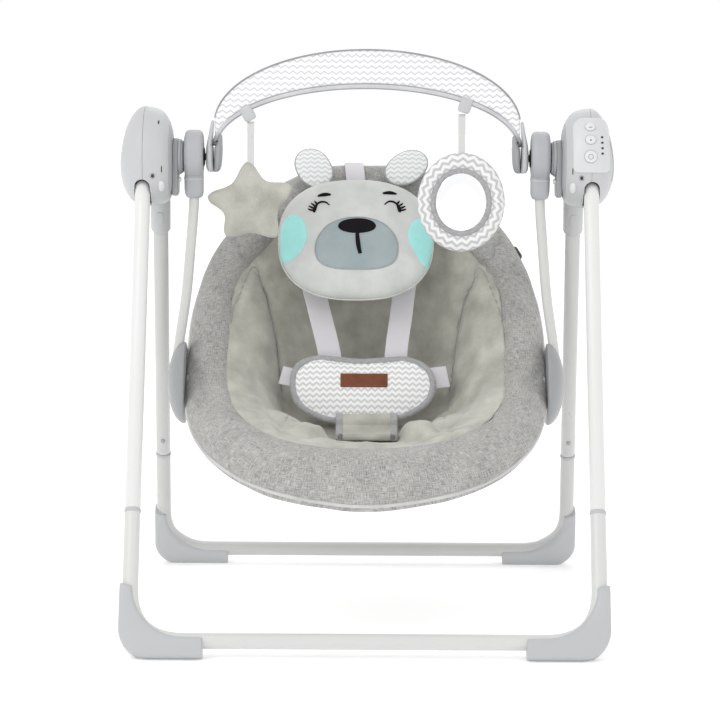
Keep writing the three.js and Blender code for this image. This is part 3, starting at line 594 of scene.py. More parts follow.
def studio():
    camera = bpy.data.objects.new("camera", bpy.data.cameras.new("camera"))
    camera.data.lens = CAMERA["lens"]
    camera.data.sensor_width = 36
    camera.data.shift_x = CAMERA["shift"]
    camera.location = (0, CAMERA["y"], CAMERA["z"])
    tilt = Matrix.Rotation(math.radians(90 - CAMERA["pitch"]), 4, "X")
    roll = Matrix.Rotation(math.radians(CAMERA["roll"]), 4, "Z")
    camera.matrix_world = Matrix.Translation(camera.location) @ tilt @ roll
    bpy.context.scene.collection.objects.link(camera)
    bpy.context.scene.camera = camera

    world = bpy.data.worlds.new("studio")
    world.use_nodes = True
    background = world.node_tree.nodes["Background"]
    background.inputs["Color"].default_value = (1, 1, 1, 1)
    background.inputs["Strength"].default_value = 1.0
    bpy.context.scene.world = world
    bpy.context.scene.view_settings.view_transform = "Standard"

    lamp("key", (-1.5, -1.8, 2.3), 1.6, 15)
    lamp("fill", (1.9, -1.6, 1.5), 1.8, 0.4)
    lamp("back", (0.3, 2.2, 2.2), 1.6, 7)

    half = 12
    corners = [(-half, -half, 0), (half, -half, 0), (half, half, 0), (-half, half, 0)]
    look = Look("floor", 0.85, Emission_Color=(1, 1, 1, 1), Emission_Strength=0.22)
    look.colour(look.mix(look.noise(look.where(), 3), (0.93, 0.93, 0.93, 1), (0.945, 0.945, 0.945, 1)))
    add_mesh("floor", corners, [(0, 1, 2, 3)], look.material)


def lamp(name, at, size, watts):
    light = bpy.data.lights.new(name, "AREA")
    light.size = size
    light.energy = watts
    obj = bpy.data.objects.new(name, light)
    aim = Vector((0, 0, 0.35)) - Vector(at)
    obj.matrix_world = Matrix.Translation(at) @ aim.to_track_quat("-Z", "Y").to_matrix().to_4x4()
    bpy.context.scene.collection.objects.link(obj)


studio()

# ---------------------------------------------------------------- base frame


def leg_point(front, z):
    """Centre line of the right-hand leg; front is -1 for the front frame and 1 for the rear."""
    t = (z - BAR_Z) / (LEG_TOP_Z - BAR_Z)
    x = FRONT_X if front < 0 else REAR_X_BASE + (REAR_X_TOP - REAR_X_BASE) * t
    return vec(x, front * (BASE_Y + (LEG_TOP_Y - BASE_Y) * t), z)


def mirrored(points):
    return np.asarray(points, float) * (-1, 1, 1)


def quarter_bend(a, corner, b, steps=14):
    t = np.linspace(0, 1, steps)[:, None]
    return (1 - t) ** 2 * a + 2 * t * (1 - t) * corner + t**2 * b


def u_tube_path(front):
    foot, joint = leg_point(front, BAR_Z), leg_point(front, JOINT_Z)
    top = foot + unit(joint - foot) * BEND_R
    inner = foot - (BEND_R, 0, 0)
    right = np.concatenate([[joint], quarter_bend(top, foot, inner)])
    return np.concatenate([right, mirrored(right[::-1])])


def upper_leg(front):
    """Centre line and radii of an upper tube; the front one ends upright in a dome in its housing."""
    leg = [leg_point(front, JOINT_Z + 0.0004), leg_point(front, JOINT_Z + 0.0016)]
    radii = [TUBE_R - 0.0007, TUBE_R]
    if front > 0:
        return leg + [leg_point(front, 0.553), leg_point(front, 0.556)], radii + [TUBE_R, TUBE_R - 0.003]
    low, knee = leg_point(front, 0.506), leg_point(front, 0.522)
    crown = knee + (0, 0.0005, LEG_TOP_Z - 0.522)
    bend = list(quarter_bend(low, knee, crown, 9))
    dome = np.radians([20, 38, 54, 68, 80, 87])
    leg += bend + [crown + (0, 0, TUBE_R * math.sin(a)) for a in dome]
    return leg, radii + [TUBE_R] * len(bend) + [TUBE_R * math.cos(a) for a in dome]


def base_tubes():
    # The front U tube and the whole rear frame take darker copies of the white paint: painted shade.
    looks = ((-1, "front", BASE_SHADE_PAINT, WHITE_PAINT), (1, "rear", SHADED_PAINT, SHADED_PAINT))
    for front, word, base_look, leg_look in looks:
        slot = "white_paint" if front < 0 else "shaded_paint"
        body = "front_frame" if front < 0 else "frame"
        low = tube(f"u_tube_{word}", u_tube_path(front), TUBE_R, base_look, 28, sharp=50)
        place(low, body, f"{word}_lower_tube", slot=slot)
        for name, side in SIDES.items():
            mirror = (side, 1, 1)
            leg, radii = upper_leg(front)
            upper = tube(f"leg_tube_{word}_{name}", np.array(leg) * mirror, radii, leg_look, 28, sharp=50)
            place(upper, body, f"{word}_upper_tube_{name}", slot=slot)
            collar = [leg_point(front, JOINT_Z - z) for z in (0.0042, 0.0036, 0.0012, 0.0004)]
            radii = [TUBE_R + 0.0001, TUBE_R + 0.0006, TUBE_R + 0.0006, TUBE_R + 0.0003]
            collar = tube(f"joint_collar_{word}_{name}", np.array(collar) * mirror, radii, FOOT_PLASTIC, 28,
                          sharp=50)
            place(collar, body, slot="foot_plastic")


def foot(front, name, side):
    """Moulded corner cap: a rounded section carried round the corner, flat on the floor."""
    word = "front" if front < 0 else "rear"
    base = leg_point(front, BAR_Z)
    up = unit(leg_point(front, JOINT_Z) - base)
    across = np.cross((1, 0, 0), up)
    out, drop, length, height, inner, half_depth = 0.0125, 0.0222, 0.1, 0.068, 0.0035, 0.0134
    outer_line = corner_line(out, -drop, 0.036, height, out - length)
    inner_line = corner_line(-inner, inner, BEND_R - inner, height - 0.004, out - length)
    rings = []
    a = np.arange(32) * TAU / 32
    for k, (o, i) in enumerate(zip(outer_line, inner_line)):
        end = min(k, len(outer_line) - 1 - k)
        trim = (0.86, 0.96, 1.0)[min(end, 2)]
        middle, half = (o + i) / 2, (o - i) / 2 * trim
        wide = squared(np.cos(a), 0.36)
        thick = squared(np.sin(a), 0.5) * half_depth * trim
        flat = middle + half * wide[:, None]
        ring = base + np.outer(flat[:, 0], (1, 0, 0)) + np.outer(flat[:, 1], up) + np.outer(thick, across)
        ring[:, 2] = np.maximum(ring[:, 2], 0)
        rings.append(ring)
    cap = add_mesh(f"corner_foot_{word}_{name}",
                   *skin_args(np.array(rings) * (side, 1, 1), False, FOOT_PLASTIC), sharp=45)
    place(cap, "front_frame" if front < 0 else "frame", f"{word}_foot_{name}", slot="foot_plastic")


def corner_line(x, w, radius, height, end):
    """Down one straight, round a corner and along the other, in the plane of the U tube."""
    down = [(x, h) for h in np.linspace(height, w + radius, 7)]
    a = np.linspace(0, -math.pi / 2, 15)[1:-1]
    bend = [(x - radius + radius * math.cos(t), w + radius + radius * math.sin(t)) for t in a]
    along = [(h, w) for h in np.linspace(x - radius, end, 7)]
    lead = [down[0], (x, height - 0.001)]
    tail = [(end + 0.001, w), along[-1]]
    return np.array(lead + down[1:] + bend + along[:-1] + tail)


def snap_buttons():
    away = vec(0, -math.cos(LEAN), -math.sin(LEAN))
    for name, side in SIDES.items():
        at = leg_point(1, SNAP_Z)
        pin = [at + away * d for d in (0.0065, TUBE_R, TUBE_R + 0.0012, TUBE_R + 0.0016)]
        button = tube(f"snap_pin_{name}", np.array(pin) * (side, 1, 1), [0.003, 0.003, 0.0026, 0.0016],
                      STEEL, 20)
        place(button, f"snap_button_{name}", f"snap_button_{name}", slot="steel")


base_tubes()
for front in (-1, 1):
    for name, side in SIDES.items():
        foot(front, name, side)
snap_buttons()

# ---------------------------------------------------------------- housings


def dome_lean(z):
    return 1 - 0.3 * max(0.0, (z + 0.02) / 0.085) ** 1.5


def housing_ring(x, scale, depth=0.0, sides=72):
    """Outline of a housing across X; depth carries it out over the dome."""
    ring = []
    for a in np.arange(sides) * TAU / sides:
        y = HOUSING_RY * scale * math.cos(a) * (1 - 0.08 * math.sin(a))
        z = HOUSING_RZ * scale * math.sin(a)
        ring.append((x + depth * dome_lean(z), y, HOUSING_Z + z))
    return ring


def outer_shell_rings():
    rings = [housing_ring(HOUSING_SEAM + 0.0001, 0.997), housing_ring(HOUSING_SEAM + 0.0007, 1.0)]
    for angle in np.radians([6, 12, 19, 26, 33, 40, 47, 54, 61, 68, 74, 80, 85, 89]):
        depth = (HOUSING_OUTER - HOUSING_SEAM) * math.sin(angle)
        rings.append(housing_ring(HOUSING_SEAM, math.cos(angle) ** 0.75, depth=depth))
    return rings


# Across X from the seam: how far the outline still reaches above and below the axle.
BODY_PROFILE = (
    (0.2778, 0.997, 0.998), (0.2772, 1.0, 1.0), (0.27, 0.986, 0.996), (0.264, 0.965, 0.983),
    (0.26, 0.94, 0.97), (0.256, 0.897, 0.953), (0.253, 0.85, 0.933), (0.2505, 0.795, 0.908),
    (0.2485, 0.738, 0.878), (0.247, 0.685, 0.848),
)
BACK_PROFILE = ((0.2467, 0.668, 0.838), (0.2455, 0.61, 0.8), (0.2443, 0.54, 0.75), (0.2434, 0.45, 0.69))


def body_ring(x, above, below, sides=72):
    ring = []
    for a in np.arange(sides) * TAU / sides:
        share = below + (above - below) * (1 + math.sin(a)) / 2
        y = HOUSING_RY * share * math.cos(a) * (1 - 0.08 * math.sin(a))
        z = HOUSING_RZ * (above if math.sin(a) > 0 else below) * math.sin(a)
        ring.append((x, y, HOUSING_Z + z))
    return ring


def leg_slot_cutter(half=0.0102):
    """The space the front leg needs as it folds back, as one prism along X."""
    pivot = vec(-LEG_TOP_Y, LEG_TOP_Z)
    reach = 0.14
    angles = np.linspace(-LEAN, -LEAN + FOLD_ANGLE + 0.03, 9)
    ahead = [pivot + reach * vec(math.sin(a), -math.cos(a)) for a in angles]
    first, last = angles[0], angles[-1]
    front_side = -half * vec(math.cos(first), math.sin(first))
    back_side = half * vec(math.cos(last), math.sin(last))
    turns = np.linspace(last, last + math.pi, 13)[:11]
    crown = [pivot + half * vec(math.cos(a), math.sin(a)) for a in turns]
    outline = [pivot + back_side] + crown[1:] + [pivot + front_side, ahead[0] + front_side] + ahead
    outline.append(ahead[-1] + back_side)
    return [[(FRONT_X + dx, y, z) for y, z in outline] for dx in (-half, half)]


def leg_window_cutter(half=0.0096):
    """Round-topped window in the front of a housing that shows the end of the leg."""
    arch = [(half * math.cos(a), half * math.sin(a)) for a in np.linspace(0, math.pi, 19)]
    outline = [(half, -0.08)] + arch + [(-half, -0.08)]
    return [[(FRONT_X + x, y, LEG_TOP_Z + 0.0002 + z) for x, z in outline] for y in (-0.1, -LEG_TOP_Y)]


def cut_for_leg(shell, side):
    for rings in (leg_slot_cutter(), leg_window_cutter()):
        cutter = add_mesh("cutter", *skin_args(np.array(rings) * (side, 1, 1), False, INNER_PLASTIC))
        cut(shell, cutter)


def shell_half(name, rings, caps, side, material):
    points, faces, uvs = skin(np.array(rings) * (side, 1, 1), caps=caps)
    shell = add_mesh(name, points, faces, material, uvs, sharp=50)
    walls = shell.modifiers.new("walls", "SOLIDIFY")
    walls.thickness = SHELL_WALL
    walls.offset = -1
    bake(shell)
    return shell


SHELL_WALL = 0.0024
SCREW_Z = 0.5545
SCREW_X = 0.2655
FOLD_BUTTON = (0.2552, 0.5415)


def housing_face(shell):
    """Point and normal on the front of a housing at (x, z)."""
    cast = surface(shell)
    return lambda x, z: cast((x, -0.2, z), (0, 1, 0))


def button_hole(shell, face, x, z, rx, rz):
    """Opening in the front of a housing for a button to sink into."""
    depth = face(x, z)[0][1] + 0.014
    rings = [[(a, y, b) for a, b in oval(x, z, rx, rz, 32)] for y in (-0.1, depth)]
    cut(shell, add_mesh("cutter", *skin_args(np.array(rings), False, INNER_PLASTIC)))


def screw_recess(word, side, face):
    spot, normal = face(side * SCREW_X, SCREW_Z)
    inward = -normal
    ring = [(0.0034, 0.0003), (0.0031, 0.0006), (0.0027, 0.0003), (0.0026, -0.0002)]
    path, radii = [spot - inward * h for _, h in ring], [r for r, _ in ring]
    rim = tube(f"screw_rim_{word}", path, radii, LIGHT_PLASTIC, 28)
    place(rim, "frame", slot="light_plastic")
    # A black disc sunk in the hole and a dark grey head on the steel screw: painted shade deep in the
    # recess.
    hole = peg(f"screw_hole_shade_{word}", spot - inward * 0.00062, spot + inward * 0.0006, 0.0026, BLACK_PLASTIC)
    place(hole, "frame", slot="mid_plastic")
    head = peg(f"housing_screw_{word}", spot + inward * 0.0005, spot - inward * 0.0008, 0.0012, DARK_PLASTIC,
               bevel=0.0002)
    place(head, "frame", slot="steel")


def dark_slit(name, face, x, z, width, height):
    outline = oval(x, z, width / 2, height / 2, 20, 3)
    place(patch(name, outline, face, raised(0.00025), BLACK_PLASTIC), "frame", slot="mid_plastic")


def rear_sleeve(word, side):
    top = leg_point(1, 0.53)
    low = leg_point(1, 0.4785)
    step = unit(low - top)
    path = np.array([top, low - step * 0.0025, low - step * 0.0008, low, low + step * 0.0002]) * (side, 1, 1)
    sleeve = tube(f"rear_leg_sleeve_{word}", path, [0.0128, 0.0125, 0.012, 0.0112, 0.0099], LIGHT_PLASTIC,
                  40, sharp=50)
    place(sleeve, "frame", slot="light_plastic")
    face = surface(sleeve)
    tab = oval(0, 0, 0.0044, 0.0085, 28, 3)
    mid = leg_point(1, 0.4935) * (side, 1, 1)

    def onto(a, b):
        return face(mid + vec(a, -0.05, b), (0, 1, 0))

    place(patch(f"sleeve_tab_{word}", tab, onto, raised(0.0009), LIGHT_PLASTIC), "frame",
          slot="light_plastic")


def housing(word, side):
    outer = shell_half(f"housing_dome_{word}", outer_shell_rings(), (1,), side, LIGHT_PLASTIC)
    inner = shell_half(f"housing_body_{word}", [body_ring(*p) for p in BODY_PROFILE], (), side,
                       LIGHT_PLASTIC)
    # The back plate's darker mid plastic paints the shade on the housing's inward side.
    back = shell_half(f"housing_back_plate_{word}", [body_ring(*p) for p in BACK_PROFILE], (1,), side,
                      MID_PLASTIC)
    cut_for_leg(outer, side)
    cut_for_leg(inner, side)
    place(outer, "frame", f"housing_outer_{word}", slot="light_plastic")
    place(inner, "frame", f"housing_inner_{word}", slot="light_plastic")
    place(back, "frame", slot="mid_plastic")
    rear_sleeve(word, side)
    face = housing_face(inner)
    screw_recess(word, side, face)
    dark_slit(f"vent_slit_low_{word}", face, side * 0.2545, 0.5625, 0.0012, 0.0085)
    dark_slit(f"vent_slit_high_{word}", face, side * 0.2592, 0.6195, 0.0018, 0.0042)
    x, z = side * FOLD_BUTTON[0], FOLD_BUTTON[1]
    outline = oval(x, z, 0.0034, 0.0066, 32, 2.3)
    levels = [(1.0, -0.001), (1.0, 0.0008), (0.93, 0.0014), (0.6, 0.0017), (0.3, 0.0018)]
    button = patch(f"fold_release_{word}", outline, face, levels, BUTTON_PLASTIC)
    place(button, f"fold_button_{word}", f"fold_button_{word}", slot="button_plastic")
    button_hole(inner, face, x, z, 0.0043, 0.0077)
    rim = patch(f"fold_release_rim_{word}", oval(x, z, 0.0044, 0.0078, 32, 2.3), face,
                raised(0.0005), LIGHT_PLASTIC)
    place(rim, "frame", slot="light_plastic")
    return outer, inner


def axle_flange(word, side):
    """Boss between housing and hub, with the plate it stands on and the catch below it."""
    profile = [(0.2302, 0), (0.2302, 0.019), (0.2312, 0.0206), (0.2328, 0.0206), (0.2332, 0.0222),
               (0.2366, 0.0226), (0.2366, 0)]
    boss = turned(f"axle_boss_{word}", profile, MID_PLASTIC, side, radius=0.0006)
    place(boss, "frame", f"axle_cover_{word}", slot="mid_plastic")
    outline = rounded_box(0, 0.5625, 0.047, 0.0715, 0.01, top_radius=0.0232)
    plate = slab(f"axle_plate_{word}", outline, side * 0.2368, side * 0.2434, 0.0012, INNER_PLASTIC)
    place(plate, "frame", slot="light_plastic")
    knob = peg(f"catch_knob_{word}", (side * 0.237, -0.012, 0.547), (side * 0.2325, -0.012, 0.547), 0.0033,
               BUTTON_PLASTIC, bevel=0.001)
    place(knob, "frame", slot="button_plastic")


def slab(name, outline, x0, x1, bevel, material):
    """Plate across X from x0 to x1 with softened edges, cut to a (y, z) outline."""
    outline = np.array(outline, float)
    middle = outline.mean(axis=0)
    size = np.abs(outline - middle).max()
    step = bevel * np.sign(x1 - x0)
    stations = [(x0, 1 - bevel / size), (x0 + step * 0.3, 1 - 0.3 * bevel / size), (x0 + step, 1),
                (x1 - step, 1), (x1 - step * 0.3, 1 - 0.3 * bevel / size), (x1, 1 - bevel / size)]
    rings = [[(x, *(middle + (p - middle) * share)) for p in outline] for x, share in stations]
    return add_mesh(name, *skin_args(rings, False, material), sharp=50)


def box_piece(name, low, high, bevel, material):
    (x0, y0, z0), (x1, y1, z1) = low, high
    corners = [(x, y, z) for x in (x0, x1) for y in (y0, y1) for z in (z0, z1)]
    faces = [(0, 1, 3, 2), (4, 6, 7, 5), (0, 4, 5, 1), (2, 3, 7, 6), (0, 2, 6, 4), (1, 5, 7, 3)]
    obj = add_mesh(name, corners, faces, material)
    edge = obj.modifiers.new("bevel", "BEVEL")
    edge.width = bevel
    edge.segments = 3
    bake(obj)
    obj.data.shade_smooth()
    obj.data.set_sharp_from_angle(angle=math.radians(50))
    return obj


def rounded_box(x, z, width, height, radius, steps=7, top_radius=None):
    """Outline of a rounded rectangle centred at (x, z), anticlockwise from the right."""
    top_radius = top_radius or radius
    points = []
    for k, (sx, sz) in enumerate(((1, 1), (-1, 1), (-1, -1), (1, -1))):
        r = top_radius if sz > 0 else radius
        cx, cz = x + sx * (width / 2 - r), z + sz * (height / 2 - r)
        for a in np.linspace(k * math.pi / 2, (k + 1) * math.pi / 2, steps):
            points.append((cx + r * math.cos(a), cz + r * math.sin(a)))
    return points


def dense(outline, gap):
    """Closed outline with points added so that none are further apart than the gap."""
    out = []
    for a, b in zip(outline, list(outline[1:]) + [outline[0]]):
        a, b = np.asarray(a, float), np.asarray(b, float)
        count = max(1, int(math.ceil(np.linalg.norm(b - a) / gap)))
        out += [a + (b - a) * k / count for k in range(count)]
    return out


PANEL_X = 0.2775
PANEL_Z = 0.5942
BUTTONS = {"timer": (43.0, 0.0062, 0.0044), "music": (25.5, 0.0062, 0.0052), "speed": (5.5, 0.0074, 0.0074)}
BUTTON_LINE_X = 0.276


def control_panel(outer, inner):
    """Raised touch panel over the front of the right housing, its buttons and its row of lamps."""
    seam_face = join_faces(outer, inner)
    outline = dense(rounded_box(PANEL_X, PANEL_Z, 0.0445, 0.0655, 0.0055, top_radius=0.014), 0.003)
    levels = [(1.0, -0.0012), (1.0, 0.0009), (0.985, 0.0016), (0.955, 0.0019), (0.75, 0.0019), (0.5, 0.0019),
              (0.25, 0.0019)]
    panel = patch("touch_panel", outline, seam_face, levels, PANEL_PLASTIC)
    place(panel, "frame", "control_panel", slot="light_plastic")
    face = housing_face(panel)
    for word, (angle, rx, rz) in BUTTONS.items():
        a = math.radians(angle)
        z = HOUSING_Z + 0.0608 * math.sin(a)
        for shell in (outer, inner):
            button_hole(shell, face, BUTTON_LINE_X, z, rx + 0.0014, rz + 0.0014)
        crater = patch(f"{word}_button_well", oval(BUTTON_LINE_X, z, rx + 0.0009, rz + 0.0009), face,
                       raised(0.0002), MID_PLASTIC)
        place(crater, "frame", slot="mid_plastic")
        dome = [(1.0, -0.0005), (1.0, 0.001), (0.93, 0.0018), (0.75, 0.0023), (0.5, 0.0026), (0.25, 0.0027)]
        cap = patch(f"{word}_button_cap", oval(BUTTON_LINE_X, z, rx, rz), face, dome, BUTTON_PLASTIC)
        place(cap, f"{word}_button", f"{word}_button", slot="button_plastic")
        button_mark(word, z, housing_face(cap))
    for k in range(4):
        lamp_z = 0.6046 - 0.0066 * k
        outline = oval(0.2905 + 0.0001 * k, lamp_z, 0.0016, 0.0013, 20, 2.4)
        place(patch(f"level_lamp_{k + 1}", outline, face, raised(0.0003), BLACK_PLASTIC), "frame",
              slot="mid_plastic")


def join_faces(outer, inner):
    """The front of a housing: the outer shell beyond the seam, the inner one within it."""
    a, b = housing_face(outer), housing_face(inner)
    return lambda x, z: a(x, z) if abs(x) >= HOUSING_SEAM else b(x, z)


def button_mark(word, z, face):
    """Plain sign on a button: a bar for the timer, a dot for music and a ring for speed."""
    if word == "speed":
        ring = []
        for a in np.arange(28) * TAU / 28:
            spot, normal = face(BUTTON_LINE_X + 0.003 * math.cos(a), z + 0.003 * math.sin(a))
            ring.append(spot + normal * 0.00005)
        mark = tube("speed_button_sign", ring, 0.0003, MARK_PAINT, 8, closed=True)
    else:
        rx, rz = ((0.0024, 0.0005), (0.0011, 0.0011))[word == "music"]
        mark = patch(f"{word}_button_sign", oval(BUTTON_LINE_X, z, rx, rz, 20), face, raised(0.0001),
                     MARK_PAINT)
    place(mark, f"{word}_button", slot="mid_plastic")


def battery_door(shell):
    """Lid over the cells in the side of the right housing, held by one screw."""
    cast = surface(shell)

    def onto(y, z):
        return cast((0.4, y, z), (-1, 0, 0), 0.1)

    outline = dense(rounded_box(0, HOUSING_Z, 0.061, 0.055, 0.006), 0.003)
    lid = patch("battery_lid", outline, onto, raised(0.0004), LIGHT_PLASTIC)
    place(lid, "frame", "battery_door", slot="light_plastic")
    joint = [onto(*spot)[0] for spot in outline]
    place(tube("battery_lid_joint", joint, 0.0003, DARK_PLASTIC, 8, closed=True), "frame",
          slot="mid_plastic")
    spot, normal = onto(0, HOUSING_Z + 0.0215)
    place(peg("battery_lid_screw", spot + normal * 0.0006, spot - normal * 0.0006, 0.0024, STEEL,
              bevel=0.0003),
          "frame", slot="steel")


for word, side in SIDES.items():
    outer_shell, inner_shell = housing(word, side)
    axle_flange(word, side)
battery_door(outer_shell)
control_panel(outer_shell, inner_shell)

# ---------------------------------------------------------------- swing arms, hubs and hinges

ARM_LINE = ((0.217, 0.56), (0.2173, 0.52), (0.222, 0.46), (0.2275, 0.4), (0.235, 0.35), (0.239, 0.322))


def arm(word, side):
    path = spline([(side * x, 0, z) for x, z in ARM_LINE], 40)
    # The arm's white paint is drawn darker: painted shade.
    place(tube(f"arm_tube_{word}", path, 0.0063, ARM_SHADE_PAINT, 24), "swing", f"swing_arm_{word}",
          slot="white_paint")


def loft_z(name, stations, material, side, power, y=0.0, sides=40):
    """Stack of superellipses up Z: each station is (z, x, half width in X, half width in Y)."""
    a = np.arange(sides) * TAU / sides
    cx, cy = squared(np.cos(a), 2 / power), squared(np.sin(a), 2 / power)
    rings = [np.stack([side * (x + hx * cx), y + hy * cy, np.full(sides, z)], axis=1)
             for z, x, hx, hy in stations]
    return add_mesh(name, *skin_args(rings, False, material), sharp=50)


def hub(word, side):
    inner, outer, r = 0.2052, 0.2292, 0.0308
    profile = [(inner, 0), (inner, r - 0.0075), (inner + 0.0012, r - 0.0028), (inner + 0.005, r),
               (outer - 0.005, r), (outer - 0.0012, r - 0.0028), (outer, r - 0.0075), (outer, 0)]
    head = turned(f"hub_head_{word}", profile, MID_PLASTIC, side, AXIS_Z + 0.003, segments=72, radius=0.003)
    place(head, "swing", f"swing_hub_{word}", slot="mid_plastic")
    stations = [(0.5238, 0.217, 0.008, 0.008), (0.5244, 0.217, 0.0092, 0.0094),
                (0.5262, 0.217, 0.0106, 0.011), (0.5295, 0.217, 0.0116, 0.0124),
                (0.534, 0.2171, 0.012, 0.0132), (0.542, 0.2172, 0.0121, 0.014),
                (0.55, 0.2172, 0.0121, 0.015), (0.556, 0.2172, 0.0116, 0.0158)]
    socket = loft_z(f"hub_socket_{word}", stations, MID_PLASTIC, side, 3.4)
    place(socket, "swing", slot="mid_plastic")
    lip = loft_z(f"hub_lip_{word}", [(0.547, 0.2172, 0.0124, 0.015), (0.5474, 0.2172, 0.01265, 0.0153),
                                      (0.5484, 0.2172, 0.01265, 0.0154), (0.5488, 0.2172, 0.0124, 0.0152)],
                 LIGHT_PLASTIC, side, 3.4)
    place(lip, "swing", slot="light_plastic")
    disc = turned(f"hub_inner_disc_{word}",
                  [(0.2036, 0), (0.2036, 0.0105), (0.2042, 0.0115), (0.2053, 0.0118), (0.2053, 0)],
                  BLACK_PLASTIC, side, radius=0.0004)
    place(disc, "swing", slot="mid_plastic")


def hinge(word, side):
    """Domed cover at the foot of the arm, and the flat hub of the seat inside it."""
    reaches = (0.0519, 0.051, 0.0494, 0.047, 0.043, 0.0375, 0.0305, 0.022, 0.012, 0.0)
    dome = [(0.2288 + 0.0222 * math.sqrt(1 - (r / 0.0521) ** 2), r) for r in reaches]
    cover = turned(f"hinge_dome_{word}", [(0.2282, 0), (0.2282, 0.0512)] + dome, INNER_PLASTIC, side,
                   HINGE_Z, segments=80, radius=0.0008)
    place(cover, "swing", f"hinge_cover_{word}", slot="light_plastic")
    profile = [(0.2138, 0), (0.2138, 0.009), (0.2148, 0.01), (0.2262, 0.01), (0.2272, 0.009), (0.2272, 0)]
    plate = turned(f"hinge_plate_{word}", profile, MID_PLASTIC, side, HINGE_Z, segments=60, radius=0.0006)
    place(plate, "seat", f"seat_hub_{word}", slot="mid_plastic")
    for k in range(3):
        a = math.radians(90 + 120 * k)
        at = vec(side * 0.2137, 0.0055 * math.cos(a), HINGE_Z + 0.0055 * math.sin(a))
        screw = peg(f"hub_screw_{word}_{k + 1}", at, at - (side * 0.0012, 0, 0), 0.0018, STEEL, bevel=0.0004)
        place(screw, "seat", slot="steel")


for word, side in SIDES.items():
    arm(word, side)
    hub(word, side)
    hinge(word, side)

# ---------------------------------------------------------------- toy bar


def rod_point(a):
    return vec(SPAN * math.cos(a), -0.016 * math.sin(a) ** 2, ROD_Z + ROD_RISE * math.sin(a))


def edge_point(a):
    return vec(SPAN * math.cos(a), 0.008 * math.sin(a) ** 2, EDGE_Z + EDGE_RISE * math.sin(a))


def toy_bar_clip(word, side):
    """Two half shells that hold the end of the rod, the outer one running on up beside the cloth."""
    outer = [(0.5562, 0.1955, 0.0022, 0.005), (0.5568, 0.1958, 0.0036, 0.0085),
             (0.5585, 0.1963, 0.0045, 0.0122), (0.5625, 0.197, 0.005, 0.0152), (0.57, 0.1974, 0.005, 0.017),
             (0.58, 0.1975, 0.0049, 0.0172), (0.587, 0.1973, 0.0046, 0.0165), (0.59, 0.1978, 0.0038, 0.0158),
             (0.596, 0.197, 0.0034, 0.014), (0.606, 0.1955, 0.0028, 0.011), (0.615, 0.1943, 0.0023, 0.0085),
             (0.6195, 0.1939, 0.0018, 0.0062), (0.6208, 0.1938, 0.001, 0.004)]
    inner = [(0.5562, 0.1905, 0.002, 0.005), (0.5568, 0.1898, 0.0034, 0.0085),
             (0.5585, 0.1887, 0.0041, 0.0122), (0.5625, 0.1876, 0.0046, 0.0152),
             (0.57, 0.187, 0.0051, 0.017), (0.58, 0.1867, 0.0053, 0.0172), (0.587, 0.1864, 0.0053, 0.0165),
             (0.59, 0.1856, 0.004, 0.0158), (0.596, 0.1848, 0.0034, 0.0135), (0.601, 0.1843, 0.0026, 0.0105),
             (0.603, 0.1841, 0.0014, 0.007)]
    place(loft_z(f"clip_outer_{word}", outer, LIGHT_PLASTIC, side, 2.6), "toy_bar", f"toy_bar_clip_{word}",
          slot="light_plastic")
    place(loft_z(f"clip_inner_{word}", inner, INNER_PLASTIC, side, 2.6), "toy_bar", slot="light_plastic")
    pin = peg(f"clip_pin_{word}", (side * 0.2, 0, AXIS_Z), (side * 0.2046, 0, AXIS_Z), 0.0046, BLACK_PLASTIC)
    place(pin, "toy_bar", slot="mid_plastic")
    rivet = peg(f"clip_rivet_{word}", (side * 0.188, -0.0155, 0.5955), (side * 0.188, -0.0176, 0.5955),
                0.0016, DARK_PLASTIC, bevel=0.0003)
    place(rivet, "toy_bar", slot="mid_plastic")


def toy_bar_rod():
    path = [rod_point(a) for a in np.linspace(0.012, math.pi - 0.012, 90)]
    place(tube("toy_bar_wire", path, 0.0031, INNER_PLASTIC, 20), "toy_bar", "toy_bar_rod",
          slot="mid_plastic")


def bar_at(x):
    return rod_point(math.acos(x / SPAN))


def toy_clip(name, node, x):
    """Small moulded grip on the rod that the toy's strap hangs from."""
    x, y, z = top = bar_at(x + math.copysign(0.006, x))
    stations = [(z - 0.015, x, 0.0056, 0.004), (z - 0.014, x, 0.007, 0.0052),
                (z - 0.0115, x, 0.0078, 0.0056), (z - 0.001, x, 0.008, 0.006),
                (z + 0.0025, x, 0.0078, 0.006), (z + 0.0042, x, 0.0068, 0.0048)]
    grip = loft_z(name, stations, LIGHT_PLASTIC, 1, 4, y)
    along = unit(bar_at(x + 0.002) - bar_at(x - 0.002))
    aside = coords(grip) - top
    leaning = np.array([along, (0, 1, 0), (-along[2], 0, along[0])])
    set_coords(grip, top + aside @ leaning)
    place(grip, "toy_bar", node, slot="light_plastic")


for word, side in SIDES.items():
    toy_bar_clip(word, side)
toy_bar_rod()
STAR_X = -0.146
MIRROR_X = 0.118
toy_clip("star_grip", "star_clip", STAR_X)
toy_clip("mirror_grip", "mirror_clip", MIRROR_X)

# ---------------------------------------------------------------- soft goods: making


def vertex_normals(obj):
    flat = np.zeros(len(obj.data.vertices) * 3)
    obj.data.vertex_normals.foreach_get("vector", flat)
    return flat.reshape(-1, 3)


